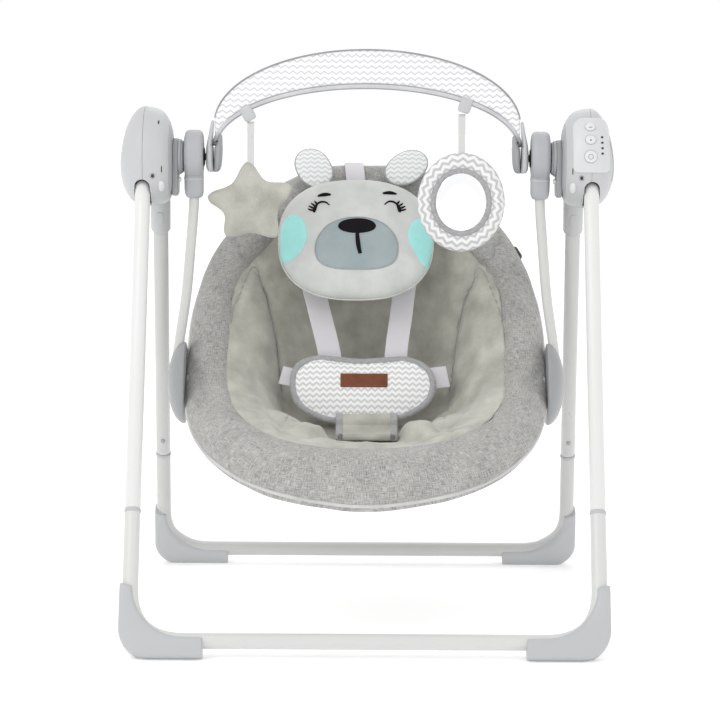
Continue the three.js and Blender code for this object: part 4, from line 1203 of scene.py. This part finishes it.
def inflate(obj, cap, pinned=None, pressure=4.0, spare=0.0):
    """Swells a closed cloth mesh by air pressure, its seams held; no point moves further than cap."""
    rest = coords(obj)
    modifier = obj.modifiers.new("cloth", "CLOTH")
    cloth = modifier.settings
    cloth.quality = 4
    cloth.mass = 0.3
    cloth.tension_stiffness = cloth.compression_stiffness = 12
    cloth.shear_stiffness = 6
    cloth.bending_stiffness = 0.3
    cloth.air_damping = 3
    cloth.use_pressure = True
    cloth.uniform_pressure_force = pressure
    cloth.shrink_min = -spare
    cloth.effector_weights.gravity = 0
    modifier.collision_settings.use_collision = False
    if pinned is not None:
        group = obj.vertex_groups.new(name="seam")
        group.add([int(i) for i in pinned], 1.0, "REPLACE")
        cloth.vertex_group_mass = "seam"
    scene = bpy.context.scene
    for step in range(1, 21):
        scene.frame_set(step)
    evaluated = obj.evaluated_get(bpy.context.evaluated_depsgraph_get())
    flat = np.zeros(len(rest) * 3)
    evaluated.data.vertices.foreach_get("co", flat)
    obj.modifiers.clear()
    scene.frame_set(1)
    move = flat.reshape(-1, 3) - rest
    size = np.linalg.norm(move, axis=1, keepdims=True)
    set_coords(obj, rest + move * np.minimum(1, cap / np.maximum(size, 1e-9)))


def subdivide(obj, levels=1):
    modifier = obj.modifiers.new("fine", "SUBSURF")
    modifier.levels = modifier.render_levels = levels
    bake(obj)


def thicken(obj, thickness):
    modifier = obj.modifiers.new("cloth_gauge", "SOLIDIFY")
    modifier.thickness = thickness
    modifier.offset = 0
    bake(obj)


def lattice(cells, seed):
    """A fixed pseudo-random height from -1 to 1 for each whole-number cell."""
    mixed = np.sin(cells @ vec(12.9898, 78.233, 37.719) + seed * 4.137) * 43758.5453
    return 2 * (mixed - np.floor(mixed)) - 1


def value_noise(points, seed):
    cell = np.floor(points)
    t = points - cell
    t = t * t * (3 - 2 * t)
    total = np.zeros(len(points))
    for corner in np.ndindex(2, 2, 2):
        share = np.prod(np.where(corner, t, 1 - t), axis=1)
        total += share * lattice(cell + corner, seed)
    return total


def creases(points, size, seed):
    """Smooth folds of about one unit height."""
    p = points / np.asarray(size)
    return value_noise(p, seed) + 0.5 * value_noise(p * 2.1, seed + 1)


def ruffle(obj, height, size, seed, weight=None):
    """Moves a mesh along its normals by folds of the given height."""
    points = coords(obj)
    normals = vertex_normals(obj)
    lift = creases(points, size, seed) * height
    if weight is not None:
        lift = lift * weight(points)
    set_coords(obj, points + normals * lift[:, None])


class Plane:
    """Local frame of a flat soft piece: a across, b up and h out of it."""

    def __init__(self, origin, across, up):
        self.origin, self.across, self.up = vec(*origin), unit(across), unit(up)
        self.out = np.cross(self.across, self.up)

    def at(self, a, b, h=0.0):
        return self.origin + self.across * a + self.up * b + self.out * h

    def onto(self, obj):
        cast = surface(obj)
        return lambda a, b: cast(self.at(a, b, 0.2), -self.out, 0.2)


PUFF_SHARES = (0.06, 0.16, 0.27, 0.38, 0.49, 0.6, 0.7, 0.79, 0.87, 0.93, 0.97)


def puff(name, outline, plane, front, back, material, power):
    """Closed cushion over an outline, with the indices of its seam."""
    outline = np.asarray(outline, float)
    middle = outline.mean(axis=0)
    m = len(outline)
    levels = [(s, front * (1 - s**power) ** 0.55) for s in PUFF_SHARES] + [(1.0, 0.0)]
    levels += [(s, -back * (1 - s**power) ** 0.55) for s in reversed(PUFF_SHARES)]
    points, flat = [], []
    for share, height in levels:
        for a, b in middle + (outline - middle) * share:
            points.append(plane.at(a, b, height))
            flat.append((a, b))
    points += [plane.at(*middle, front), plane.at(*middle, -back)]
    flat += [tuple(middle)] * 2
    faces = []
    for i in range(len(levels) - 1):
        for j in range(m):
            k = (j + 1) % m
            faces.append((i * m + j, (i + 1) * m + j, (i + 1) * m + k, i * m + k))
    last = (len(levels) - 1) * m
    for j in range(m):
        k = (j + 1) % m
        faces.append((len(points) - 2, j, k))
        faces.append((len(points) - 1, last + k, last + j))
    points = np.array(points)
    if volume(points, faces) < 0:
        faces = [f[::-1] for f in faces]
    obj = add_mesh(name, points, faces, material, [flat[i] for f in faces for i in f])
    seam = range(len(PUFF_SHARES) * m, (len(PUFF_SHARES) + 1) * m)
    return obj, seam


def edge_cord(name, outline, plane, radius, material):
    """Piping sewn round an outline."""
    path = [plane.at(a, b) for a, b in outline]
    return tube(name, path, radius, material, 12, closed=True)


def smooth_outline(points, count=120):
    return spline([(a, b, 0) for a, b in points], count, closed=True)[:, :2]


# ---------------------------------------------------------------- seat

# Half of the rim from the middle of the top to the middle of the front: outer edge, then inner edge.
RIM = (
    ((0, 204, 550), (0, 178, 500)), ((60, 203, 547), (42, 176, 497)), ((116, 187, 524), (86, 163, 482)),
    ((158, 163, 492), (119, 141, 459)), ((199, 125, 434), (148, 121, 430)), ((220, 82, 377), (166, 96, 397)),
    ((226, 40, 332), (172, 55, 345)), ((227, 0, 290), (172, 8, 296)), ((221, -62, 250), (164, -50, 268)),
    ((199, -128, 222), (145, -100, 254)), ((164, -175, 202), (117, -135, 244)),
    ((121, -208, 188), (86, -155, 238)), ((63, -229, 178), (45, -168, 235)),
    ((0, -236, 173), (0, -170, 234)),
)
RIM_STEPS = 182
BOLSTER_FRONT = 0.0205
BOLSTER_BACK = 0.015
HOOP_SHARE = 0.35
HOOP_DROP = 0.0275
BOWL_MIDDLE = (0, 0.004, 0.366)
BOWL_DOWN = (0, 0.604, -0.797)


def rim_curve(edge):
    half = [vec(*pair[edge]) / 1000 for pair in RIM]
    back = [p * (-1, 1, 1) for p in half[-2:0:-1]]
    return spline(half + back, RIM_STEPS, closed=True)


RIM_OUTER, RIM_INNER = rim_curve(0), rim_curve(1)
RIM_CENTRE = (RIM_OUTER + RIM_INNER) / 2
RIM_HALF = (RIM_OUTER - RIM_INNER) / 2
RIM_FACE = unit(np.cross(tangents(RIM_CENTRE, True), RIM_HALF))
RIM_FACE *= np.sign(RIM_FACE @ vec(0, -0.7, 0.7))[:, None]


def rim_at(share, height, k=slice(None)):
    """Points beside the rim: share is -1 at the inner edge and 1 at the outer, height is out of its face."""
    return RIM_CENTRE[k] + RIM_HALF[k] * share + RIM_FACE[k] * height


def sew(name, obj, path, depth, width, cord, material, slot):
    """Draws a seam into a padded surface along a path that lies on it, with its thread in the valley."""
    points, normals = coords(obj), vertex_normals(obj)
    gap = np.full(len(points), np.inf)
    for spot in path:
        gap = np.minimum(gap, np.linalg.norm(points - spot, axis=1))
    set_coords(obj, points - normals * (depth * np.exp(-((gap / width) ** 2)))[:, None])
    line = []
    for spot in path:
        nearest, normal = nearest_on(obj, spot)
        line.append(nearest + normal * cord * 0.3)
    place(tube(name, spline(line, 3 * len(line)), cord, material, 10), "seat", slot=slot)


def bolster_seam(cast, side):
    """Slanting seam across the rim near the shoulder."""
    path = []
    for share in np.linspace(-0.93, 0.93, 24):
        k = int(round(26.5 - 2.5 * share)) if side > 0 else RIM_STEPS - int(round(26.5 - 2.5 * share))
        path.append(cast(rim_at(share, 0.05, k), -RIM_FACE[k])[0])
    return spline(path[::3], 30)


def bolster():
    angles = np.arange(32) * TAU / 32
    rings = []
    for a in angles:
        share = squared(math.cos(a), 0.8)
        height = math.sin(a) * (BOLSTER_FRONT if math.sin(a) > 0 else BOLSTER_BACK)
        rings.append(RIM_CENTRE + RIM_HALF * share * 0.97 + RIM_FACE * height)
    rings = np.array(rings).transpose(1, 0, 2)
    obj = add_mesh("seat_rim_bolster", *skin_args(rings, True, HEATHER))
    sides = len(angles)
    pinned = [k * sides + j for k in range(RIM_STEPS) for j in (0, 16)]
    inflate(obj, 0.006, pinned, spare=0.012)
    subdivide(obj)
    ruffle(obj, 0.0013, (0.035, 0.05, 0.035), 3.1)
    for word, side in SIDES.items():
        path = bolster_seam(surface(obj), side)
        sew(f"rim_seam_{word}", obj, path, 0.003, 0.005, 0.0007, BINDING, "heather_fabric")
    place(obj, "seat", "seat_bolster", slot="heather_fabric")
    place(tube("rim_piping_outer", rim_at(1.0, 0.0005), 0.0026, PIPING, 12, closed=True), "seat",
          slot="heather_fabric")


def bowl_rings(inset, depth, falls, tuck=0.0):
    """Rings of a bowl below the rim; tuck carries its edge back under the bolster."""
    outward = unit(RIM_HALF)
    rings = []
    for fall in falls:
        edge = RIM_INNER - outward * (inset - tuck * math.exp(-fall / 0.035))
        sink = depth * (1 - (1 - fall) ** 2.2)
        rings.append(edge + (vec(*BOWL_MIDDLE) - edge) * fall + vec(*BOWL_DOWN) * sink)
    return rings


# Height up the seat and distance from its middle line of the two long seams of the liner.
BACK_UP = (0, 0.616, 0.788)
LINER_SEAM = ((0.27, 0.106), (0.303, 0.111), (0.342, 0.117), (0.385, 0.127), (0.405, 0.135), (0.425, 0.146),
              (0.44, 0.155))


def liner_crown(points):
    """The wings beside the long seams stand prouder than the middle."""
    heights, widths = zip(*LINER_SEAM)
    beyond = np.abs(points[:, 0]) - np.interp(points[:, 2], heights, widths)
    wing = 0.0085 * (1 - np.exp(-np.maximum(beyond, 0) / 0.014))
    middle = 0.002 * (1 - np.exp(-np.maximum(-beyond, 0) / 0.03))
    return np.where(beyond > 0, wing, middle)


def liner():
    falls = np.linspace(0, 1, 74) ** 1.35 * 0.97
    outer = bowl_rings(0.002, 0.148, falls[::-2], 0.006)
    inner = bowl_rings(0.014, 0.136, falls, 0.024)
    rings = [spline(ring, 2 * RIM_STEPS, closed=True) for ring in outer + inner]
    obj = add_mesh("seat_bowl_liner", *skin_args(np.array(rings), False, LINER_VELVET))
    points, normals = coords(obj), vertex_normals(obj)
    inside = np.clip(normals @ vec(0, -0.5, 0.86) * 1.5 + 0.6, 0, 1)
    shown = np.clip(np.linalg.norm(points - vec(*BOWL_MIDDLE), axis=1) / -0.03 + 8.5, 0, 1)
    set_coords(obj, points + normals * (liner_crown(points) * inside * shown)[:, None])
    points = coords(obj)
    hidden = len(outer) * 2 * RIM_STEPS
    set_coords(obj, points + vertex_normals(obj) * (puffed(points) * inside)[:, None])
    ruffle(obj, 0.0034, (0.05, 0.035, 0.03), 7.7, fold_share)
    ruffle(obj, 0.0008, (0.012, 0.012, 0.012), 2.7)
    set_coords(obj, np.concatenate([points[:hidden], coords(obj)[hidden:]]))
    for word, side in SIDES.items():
        cast = surface(obj)
        path = [cast((side * x, -0.03, z), (0, 1, 0))[0] for z, x in LINER_SEAM]
        sew(f"liner_seam_{word}", obj, spline(path, 60), 0.0042, 0.0055, 0.0008, BINDING, "velvet")
    place(obj, "seat", "seat_liner", slot="velvet")


# Puffs of cloth beside the crotch strap, seen from above: middle, radius and height.
PUFFS = (((-0.07, -0.062), 0.024, 0.022), ((-0.102, -0.03), 0.021, 0.013),
         ((0.068, -0.062), 0.023, 0.02), ((0.098, -0.03), 0.02, 0.012))


def puffed(points):
    """How far the liner stands up in its puffs."""
    height = np.zeros(len(points))
    for middle, radius, rise in PUFFS:
        height += rise * np.exp(-(np.linalg.norm(points[:, :2] - vec(*middle), axis=1) / radius) ** 4)
    return height


def fold_share(points):
    """The cloth bunches where it runs down to the front of the seat."""
    low = np.clip((0.3 - points[:, 2]) / 0.05, 0, 1)
    return 0.45 + 1.35 * low * (points[:, 1] < 0.03)


def seat_shell():
    """Outer cloth of the seat, drawn over the hoops and down round the bowl."""
    hoop = rim_at(HOOP_SHARE, -HOOP_DROP)
    outward = unit(RIM_HALF)
    falls = (0.1, 0.22, 0.36, 0.52, 0.7, 0.88)
    under = [ring + unit(ring - vec(0, 0, 0.45)) * 0.0042 for ring in bowl_rings(0.002, 0.148, falls)]
    stations = [rim_at(0.99, -0.001), rim_at(0.97, -0.011), hoop + outward * 0.0092,
                hoop + outward * 0.0062 - RIM_FACE * 0.0068, hoop - RIM_FACE * 0.0092,
                hoop - outward * 0.0085 - RIM_FACE * 0.005] + under
    stations = np.array(stations)
    rings = np.array([spline(stations[:, k], 44) for k in range(RIM_STEPS)]).transpose(1, 0, 2)
    points, faces, _ = skin(rings, caps=(1,))
    uvs = [(points[i][0], points[i] @ unit(BACK_UP)) for face in faces for i in face]
    obj = add_mesh("seat_outer_cloth", points, faces, HEATHER, uvs)
    ruffle(obj, 0.0012, (0.05, 0.05, 0.04), 1.3)
    thicken(obj, 0.0012)
    place(obj, "seat", slot="heather_fabric")


bolster()
liner()
seat_shell()

# ---------------------------------------------------------------- head pillow

PILLOW_CENTRE = (-0.012, 0.0916, 0.4662)
PILLOW = Plane(PILLOW_CENTRE, (1, 0, 0), BACK_UP)


def face_patch(name, outline, face, height, material, edge=None):
    place(patch(name, outline, face, raised(height), material), "seat", slot="plush")
    if edge is not None:
        ring = []
        for a, b in outline:
            spot, normal = face(a, b)
            ring.append(spot + normal * (height * 0.5))
        place(tube(f"{name}_edge", ring, 0.0008, edge, 8, closed=True), "seat", slot="plush")


def stitched_line(name, points, face, width, material, taper=0.55):
    """Embroidered line: a tapering satin-stitch cord laid on the face."""
    path, radii = [], []
    curve = spline([(a, b, 0) for a, b in points], max(8, 5 * len(points)))
    for t, (a, b, _) in zip(np.linspace(0, 1, len(curve)), curve):
        spot, normal = face(a, b)
        path.append(spot + normal * 0.0003)
        radii.append(width / 2 * (1 - taper + taper * math.sin(math.pi * min(max(t, 0.06), 0.94))))
    place(tube(name, path, radii, material, 10), "seat", slot="plush")


def pillow_face(face):
    """A sleeping bear: cheeks, snout, nose, mouth, closed eyes with lashes, and brows."""
    snout = smooth_outline([(-0.054, -0.036), (-0.05, -0.016), (-0.034, 0.004), (-0.001, 0.0125),
                            (0.032, 0.004), (0.049, -0.016), (0.052, -0.036), (0.047, -0.051),
                            (0.031, -0.06), (0, -0.0622), (-0.033, -0.06), (-0.049, -0.051)])
    face_patch("face_snout", snout, face, 0.0007, SNOUT_PLUSH, BINDING)
    left = smooth_outline([(-0.0975, 0.01), (-0.089, 0.024), (-0.074, 0.018), (-0.066, 0.002),
                           (-0.065, -0.018), (-0.072, -0.033), (-0.085, -0.044), (-0.096, -0.04),
                           (-0.099, -0.014)], 80)
    right = smooth_outline([(0.097, 0.01), (0.086, 0.021), (0.072, 0.012), (0.0655, -0.004), (0.0665, -0.02),
                            (0.074, -0.034), (0.084, -0.048), (0.0935, -0.046), (0.0985, -0.018)], 80)
    face_patch("face_cheek_left", left, face, 0.0008, CHEEK_PLUSH)
    face_patch("face_cheek_right", right, face, 0.0008, CHEEK_PLUSH)
    face_patch("face_nose", oval(-0.0006, -0.0012, 0.0245, 0.0112, 56, 2.1), face, 0.0019, INK)
    mouth = [(-0.0004, -0.01), (0.0004, -0.022), (0.0018, -0.033), (0.0038, -0.042)]
    stitched_line("face_mouth", mouth, face, 0.006, INK, 0.25)
    brows = {"left": [(-0.0515, 0.05), (-0.046, 0.0515), (-0.04, 0.052), (-0.035, 0.0515)],
             "right": [(0.0325, 0.0535), (0.0385, 0.055), (0.044, 0.0555), (0.05, 0.055)]}
    for word, line in brows.items():
        stitched_line(f"face_brow_{word}", line, face, 0.0056, INK)
    for word, side in SIDES.items():
        closed_eye(word, side, face)


def closed_eye(word, side, face):
    """Arc of a closed lid, thick at its outer end, with four lashes fanned outwards."""
    x, z = (-0.047, 0.0335) if side < 0 else (0.0452, 0.0345)
    arc = [(x - side * 0.0105, z - 0.0005), (x - side * 0.006, z + 0.0045), (x, z + 0.0055),
           (x + side * 0.0055, z + 0.002), (x + side * 0.0085, z - 0.006), (x + side * 0.009, z - 0.011)]
    stitched_line(f"face_lid_{word}", arc, face, 0.003, INK)
    stitched_line(f"face_lid_corner_{word}", arc[3:], face, 0.0052, INK)
    roots = [(0.005, 0.0025), (0.007, -0.001), (0.0082, -0.0045), (0.0088, -0.008)]
    tips = [(0.0085, 0.008), (0.013, 0.005), (0.016, 0.0005), (0.017, -0.0045)]
    for k, ((ra, rb), (ta, tb)) in enumerate(zip(roots, tips)):
        mid = ((ra + ta) / 2, (rb + tb) / 2 - 0.0006)
        lash = [(x + side * a, z + b) for a, b in ((ra, rb), mid, (ta, tb))]
        stitched_line(f"face_lash_{word}_{k + 1}", lash, face, 0.0026, INK)


def ear(word, middle, rx, ry, turn):
    outline = oval(*middle, rx, ry, 64, 2.15, turn)
    plane = Plane(PILLOW.at(0, 0, -0.006), (1, 0, 0), BACK_UP)
    obj, seam = puff(f"bear_ear_{word}", outline, plane, 0.0065, 0.0055, EAR_CHEVRON, 2.6)
    inflate(obj, 0.002, seam)
    place(obj, "seat", slot="chevron_fabric")
    place(edge_cord(f"bear_ear_edge_{word}", outline, plane, 0.0011, BINDING), "seat", slot="chevron_fabric")


def pillow():
    outline = oval(-0.002, -0.0032, 0.0992, 0.0908, 132, 2.45)
    obj, seam = puff("bear_pillow", outline, PILLOW, 0.029, 0.028, FACE_PLUSH, 2.3)
    inflate(obj, 0.004, seam, spare=0.01)
    ruffle(obj, 0.001, (0.05, 0.05, 0.05), 5.2)
    place(obj, "seat", "head_pillow", slot="plush")
    place(edge_cord("bear_pillow_seam", outline * 1.004, PILLOW, 0.001, FACE_PLUSH), "seat", slot="plush")
    pillow_face(PILLOW.onto(obj))
    ear("left", (-0.058, 0.1125), 0.0225, 0.031, 0.42)
    ear("right", (0.0635, 0.114), 0.0225, 0.031, -0.8)


pillow()

# ---------------------------------------------------------------- harness and belly pad

PAD_TILT = math.radians(25)
PAD = Plane((-0.006, 0.022, 0.281), (1, 0, 0), (0, math.sin(PAD_TILT), math.cos(PAD_TILT)))


def strap(name, points, across, width, *nodes):
    place(band(name, spline(points, 40), across, width, 0.0022, WEBBING), "seat", *nodes, slot="webbing")


def harness():
    shoulder = [PAD.at(-0.04, 0.042, -0.014), PAD.at(-0.038, 0.0, -0.01)]
    strap("shoulder_strap_left", [(-0.076, 0.112, 0.425), (-0.062, 0.084, 0.376)] + shoulder, (1, 0, 0),
          0.029, "harness_webbing")
    shoulder = [PAD.at(0.044, 0.042, -0.014), PAD.at(0.046, 0.0, -0.01)]
    strap("shoulder_strap_right", [(0.052, 0.112, 0.425), (0.046, 0.084, 0.376)] + shoulder, (1, 0, 0),
          0.029)
    waist = [PAD.at(-0.092, 0.018, -0.014), PAD.at(-0.06, 0.012, -0.01), PAD.at(-0.02, 0, -0.01)]
    strap("waist_strap_left", [(-0.109, 0.046, 0.293)] + waist, PAD.up, 0.024)
    waist = [PAD.at(0.092, 0.017, -0.014), PAD.at(0.06, 0.01, -0.01), PAD.at(0.02, 0, -0.01)]
    strap("waist_strap_right", [(0.105, 0.048, 0.292)] + waist, PAD.up, 0.028)
    for word, x in (("left", -0.0685), ("right", 0.049)):
        adjuster = box_piece(f"strap_adjuster_{word}", (x - 0.015, 0.0965, 0.3985),
                             (x + 0.015, 0.101, 0.4095), 0.0014, PANEL_PLASTIC)
        place(adjuster, "seat", slot="light_plastic")


def belly_pad():
    outline = smooth_outline([(-0.089, 0.006), (-0.0825, 0.029), (-0.06, 0.039), (-0.03, 0.0375), (0, 0.035),
                              (0.03, 0.037), (0.062, 0.0375), (0.085, 0.0255), (0.0935, 0.002),
                              (0.085, -0.02), (0.061, -0.037), (0.024, -0.047), (-0.03, -0.047),
                              (-0.061, -0.038), (-0.082, -0.022)], 128)
    obj, seam = puff("belly_pad_cover", outline * 0.985, PAD, 0.0078, 0.006, CHEVRON, 4.0)
    inflate(obj, 0.0025, seam, spare=0.01)
    place(obj, "seat", "belly_pad", slot="chevron_fabric")
    binding = edge_cord("belly_pad_binding", outline * (0.975, 0.955), PAD, 0.0047, BINDING)
    place(binding, "seat", slot="chevron_fabric")
    face = PAD.onto(obj)
    leather_patch(face)


def leather_patch(face):
    """Plain sewn leather label."""
    middle, width, height = (0.0035, 0.006), 0.06, 0.018
    outline = dense(rounded_box(*middle, width, height, 0.0016), 0.0025)
    label = patch("leather_label", outline, face,
                  [(1, -0.0004), (1, 0.0009), (0.985, 0.0012), (0.8, 0.0012), (0.4, 0.0012)], LEATHER)
    place(label, "seat", slot="webbing")
    on_label = PAD.onto(label)
    seam = dense(rounded_box(*middle, width - 0.0036, height - 0.0036, 0.001), 0.0022)
    for k, (a, b) in enumerate(zip(seam, seam[1:] + seam[:1])):
        ends = [on_label(*(a + (b - a) * t))[0] + PAD.out * 0.0001 for t in (0.12, 0.5, 0.88)]
        stitch = tube(f"label_stitch_{k + 1}", ends, [0.0002, 0.00035, 0.0002], STITCH, 6)
        place(stitch, "seat", slot="webbing")


def crotch_strap():
    """Velvet flap from under the pad to the seat, with a grey binding along each side."""
    on_seat = surface(bpy.data.objects["seat_bowl_liner"])
    laid = [on_seat((0.001, y, 0.33), (0, 0, -1))[0] + (0, 0, 0.0062) for y in (-0.034, -0.052, -0.072)]
    line = [PAD.at(0.007, -0.039, 0.003), PAD.at(0.007, -0.047, 0.008), PAD.at(0.007, -0.055, 0.007)] + laid
    path = spline(line, 48)
    flap = band("crotch_flap", path, (1, 0, 0), 0.072, 0.008, STAR_VELVET)
    place(flap, "seat", "crotch_strap", slot="velvet")
    for word, side in SIDES.items():
        edge = band(f"crotch_binding_{word}", path + (side * 0.0345, 0, 0), (1, 0, 0), 0.0095, 0.0094,
                    BINDING)
        place(edge, "seat", slot="velvet")


def rim_extras():
    """Loop over the top of the rim that holds the pillow, and the strap slider at the right shoulder."""
    k = RIM_STEPS - 2
    stations = [(-1.25, 0.002), (-1.0, 0.013), (-0.6, 0.0235), (0.0, 0.0275), (0.6, 0.0235), (1.05, 0.01),
                (1.15, -0.004), (0.85, -0.017), (0.2, -0.0215)]
    strap("pillow_loop", [rim_at(share, height, k) for share, height in stations], (1, 0, 0), 0.025)
    k = 27
    along, outward = tangents(RIM_CENTRE, True)[k], unit(RIM_HALF[k])
    spot = rim_at(1.02, 0.003, k)
    path = [spot - outward * 0.007 + RIM_FACE[k] * 0.006, spot + outward * 0.0025 + RIM_FACE[k] * 0.003,
            spot + outward * 0.003 - RIM_FACE[k] * 0.012]
    slider = band("strap_slider", spline(path, 12), along, 0.014, 0.003, BLACK_PLASTIC)
    place(slider, "seat", slot="mid_plastic")


harness()
belly_pad()
crotch_strap()
rim_extras()

# ---------------------------------------------------------------- toy bar cloth and toys


def arch_cloth():
    span = np.linspace(0.075, math.pi - 0.075, 120)
    rows = np.linspace(0, 1, 10)
    rings = np.array([[rod_point(a) + (edge_point(a) - rod_point(a)) * t for t in rows] for a in span])
    lift = 0.0035 * np.sin(np.linspace(0, math.pi, 10))
    rings[:, :, 1] -= lift[None]
    points, faces, _ = skin(rings, ring_closed=False)
    uvs = [(points[i][0], points[i][2]) for f in faces for i in f]
    obj = add_mesh("arch_cloth", points, faces, FINE_CHEVRON, uvs)
    thicken(obj, 0.0016)
    place(obj, "toy_bar", "arch_fabric", slot="chevron_fabric")
    path = [edge_point(a) for a in span]
    place(tube("arch_piping_top", path, 0.0016, ARCH_EDGE, 12), "toy_bar", slot="chevron_fabric")
    path = np.array([rod_point(a) for a in span])
    radii = 0.0033 + 0.0006 * np.sin(span)
    place(tube("arch_sleeve", path, radii, ARCH_PIPING, 16), "toy_bar", slot="chevron_fabric")
    # Dark lines along the top and bottom of the sleeve: painted shade of its curved sides.
    for word, drop in (("upper", 0.75), ("lower", -0.75)):
        seam = path + radii[:, None] * vec(0, -0.66, drop)
        place(tube(f"arch_sleeve_shade_line_{word}", seam, 0.0007, ARCH_EDGE, 8), "toy_bar", slot="chevron_fabric")


def toy_strap(name, body, x, bottom):
    top = bar_at(x)
    path = [(x, top[1], z) for z in np.linspace(bottom, top[2] - 0.018, 12)]
    place(band(name, path, (1, 0, 0), 0.0085, 0.0018, TOY_TAPE), body, slot="webbing")


def star_outline():
    """Five rounded points, as uneven as hand sewing makes them: angle and reach of each."""
    tips = ((94, 0.0535), (24, 0.056), (-51, 0.0525), (-128, 0.0505), (-190, 0.0545))
    points = []
    for (angle, reach), (following, _) in zip(tips, tips[1:] + ((94 - 360, 0),)):
        tip, valley = math.radians(angle), math.radians((angle + following) / 2)
        for turn, share in ((0.13, 0.93), (0.0, 1.0), (-0.13, 0.93)):
            points.append((reach * share * math.cos(tip + turn), reach * share * math.sin(tip + turn)))
        points.append((0.0355 * math.cos(valley), 0.0355 * math.sin(valley)))
    return smooth_outline(points[::-1], 130)


def star():
    y = bar_at(STAR_X)[1]
    plane = Plane((STAR_X, y, 0.516), (1, 0, 0), (0, 0, 1))
    obj, seam = puff("star_cushion", star_outline(), plane, 0.0105, 0.0105, STAR_VELVET, 1.8)
    inflate(obj, 0.003, seam)
    ruffle(obj, 0.0006, (0.02, 0.02, 0.02), 9.4)
    place(obj, "star", "star_toy", slot="velvet")
    toy_strap("star_strap", "star", STAR_X, 0.563)


def ring_piece(name, plane, outer, inner, front, back, material, count=96):
    """Padded ring between two ellipses; its cloth runs round it."""
    section = np.arange(20) * TAU / 20
    rings = []
    for t in np.arange(count) * TAU / count:
        ring = []
        for s in section:
            share = (1 + squared(math.cos(s), 0.8)) / 2
            rx, rz = inner[0] + (outer[0] - inner[0]) * share, inner[1] + (outer[1] - inner[1]) * share
            h = math.sin(s) * (front if math.sin(s) > 0 else back)
            ring.append(plane.at(rx * math.cos(t), rz * math.sin(t), h))
        rings.append(ring)
    return add_mesh(name, *skin_args(rings, True, material))


def toy_mirror():
    y = bar_at(MIRROR_X)[1]
    plane = Plane((MIRROR_X, y, 0.5205), (1, 0, 0), (0, 0, 1))
    # The outer ring's darker chevron paints its shade.
    outer = ring_piece("mirror_ring_outer", plane, (0.0548, 0.0622), (0.037, 0.0412), 0.0062, 0.0062,
                       RING_CHEVRON_SHADED)
    place(outer, "mirror", "mirror_frame", slot="chevron_fabric")
    inner = ring_piece("mirror_ring_inner", plane, (0.0392, 0.0436), (0.0318, 0.0362), 0.0052, 0.0048,
                       BINDING)
    place(inner, "mirror", slot="velvet")
    levels = [(1, -0.0012), (1, 0.0), (0.99, 0.0004), (0.6, 0.0004), (0.3, 0.0004)]
    glass = patch("mirror_sheet", oval(0, 0, 0.0332, 0.0376, 80),
                  lambda a, b: (plane.at(a, b, 0.0022), plane.out), levels, MIRROR)
    place(glass, "mirror", "mirror_glass", slot="mirror")
    back = patch("mirror_backing", oval(0, 0, 0.0375, 0.0418, 80),
                 lambda a, b: (plane.at(a, b, -0.0022), -plane.out), levels, CHEVRON)
    place(back, "mirror", slot="chevron_fabric")
    toy_strap("mirror_strap", "mirror", MIRROR_X, 0.578)


arch_cloth()
star()
toy_mirror()

# ---------------------------------------------------------------- CAD nodes that keep their own shape

SLOT_LOOKS = {
    "white_paint": WHITE_PAINT, "shaded_paint": SHADED_PAINT, "foot_plastic": FOOT_PLASTIC,
    "light_plastic": LIGHT_PLASTIC, "mid_plastic": MID_PLASTIC, "button_plastic": BUTTON_PLASTIC,
    "steel": STEEL, "board": BOARD_GREEN, "copper": COPPER, "magnet": GRAPHITE, "cell": CELL_SLEEVE,
    "heather_fabric": HEATHER, "velvet": LINER_VELVET, "plush": FACE_PLUSH, "chevron_fabric": CHEVRON,
    "webbing": WEBBING, "mirror": MIRROR,
}


def dress_nodes():
    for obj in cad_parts.values():
        for holder in obj.material_slots:
            look = SLOT_LOOKS.get(holder.material.name.split(".")[0]) if holder.material else None
            holder.material = look or LIGHT_PLASTIC


dress_nodes()
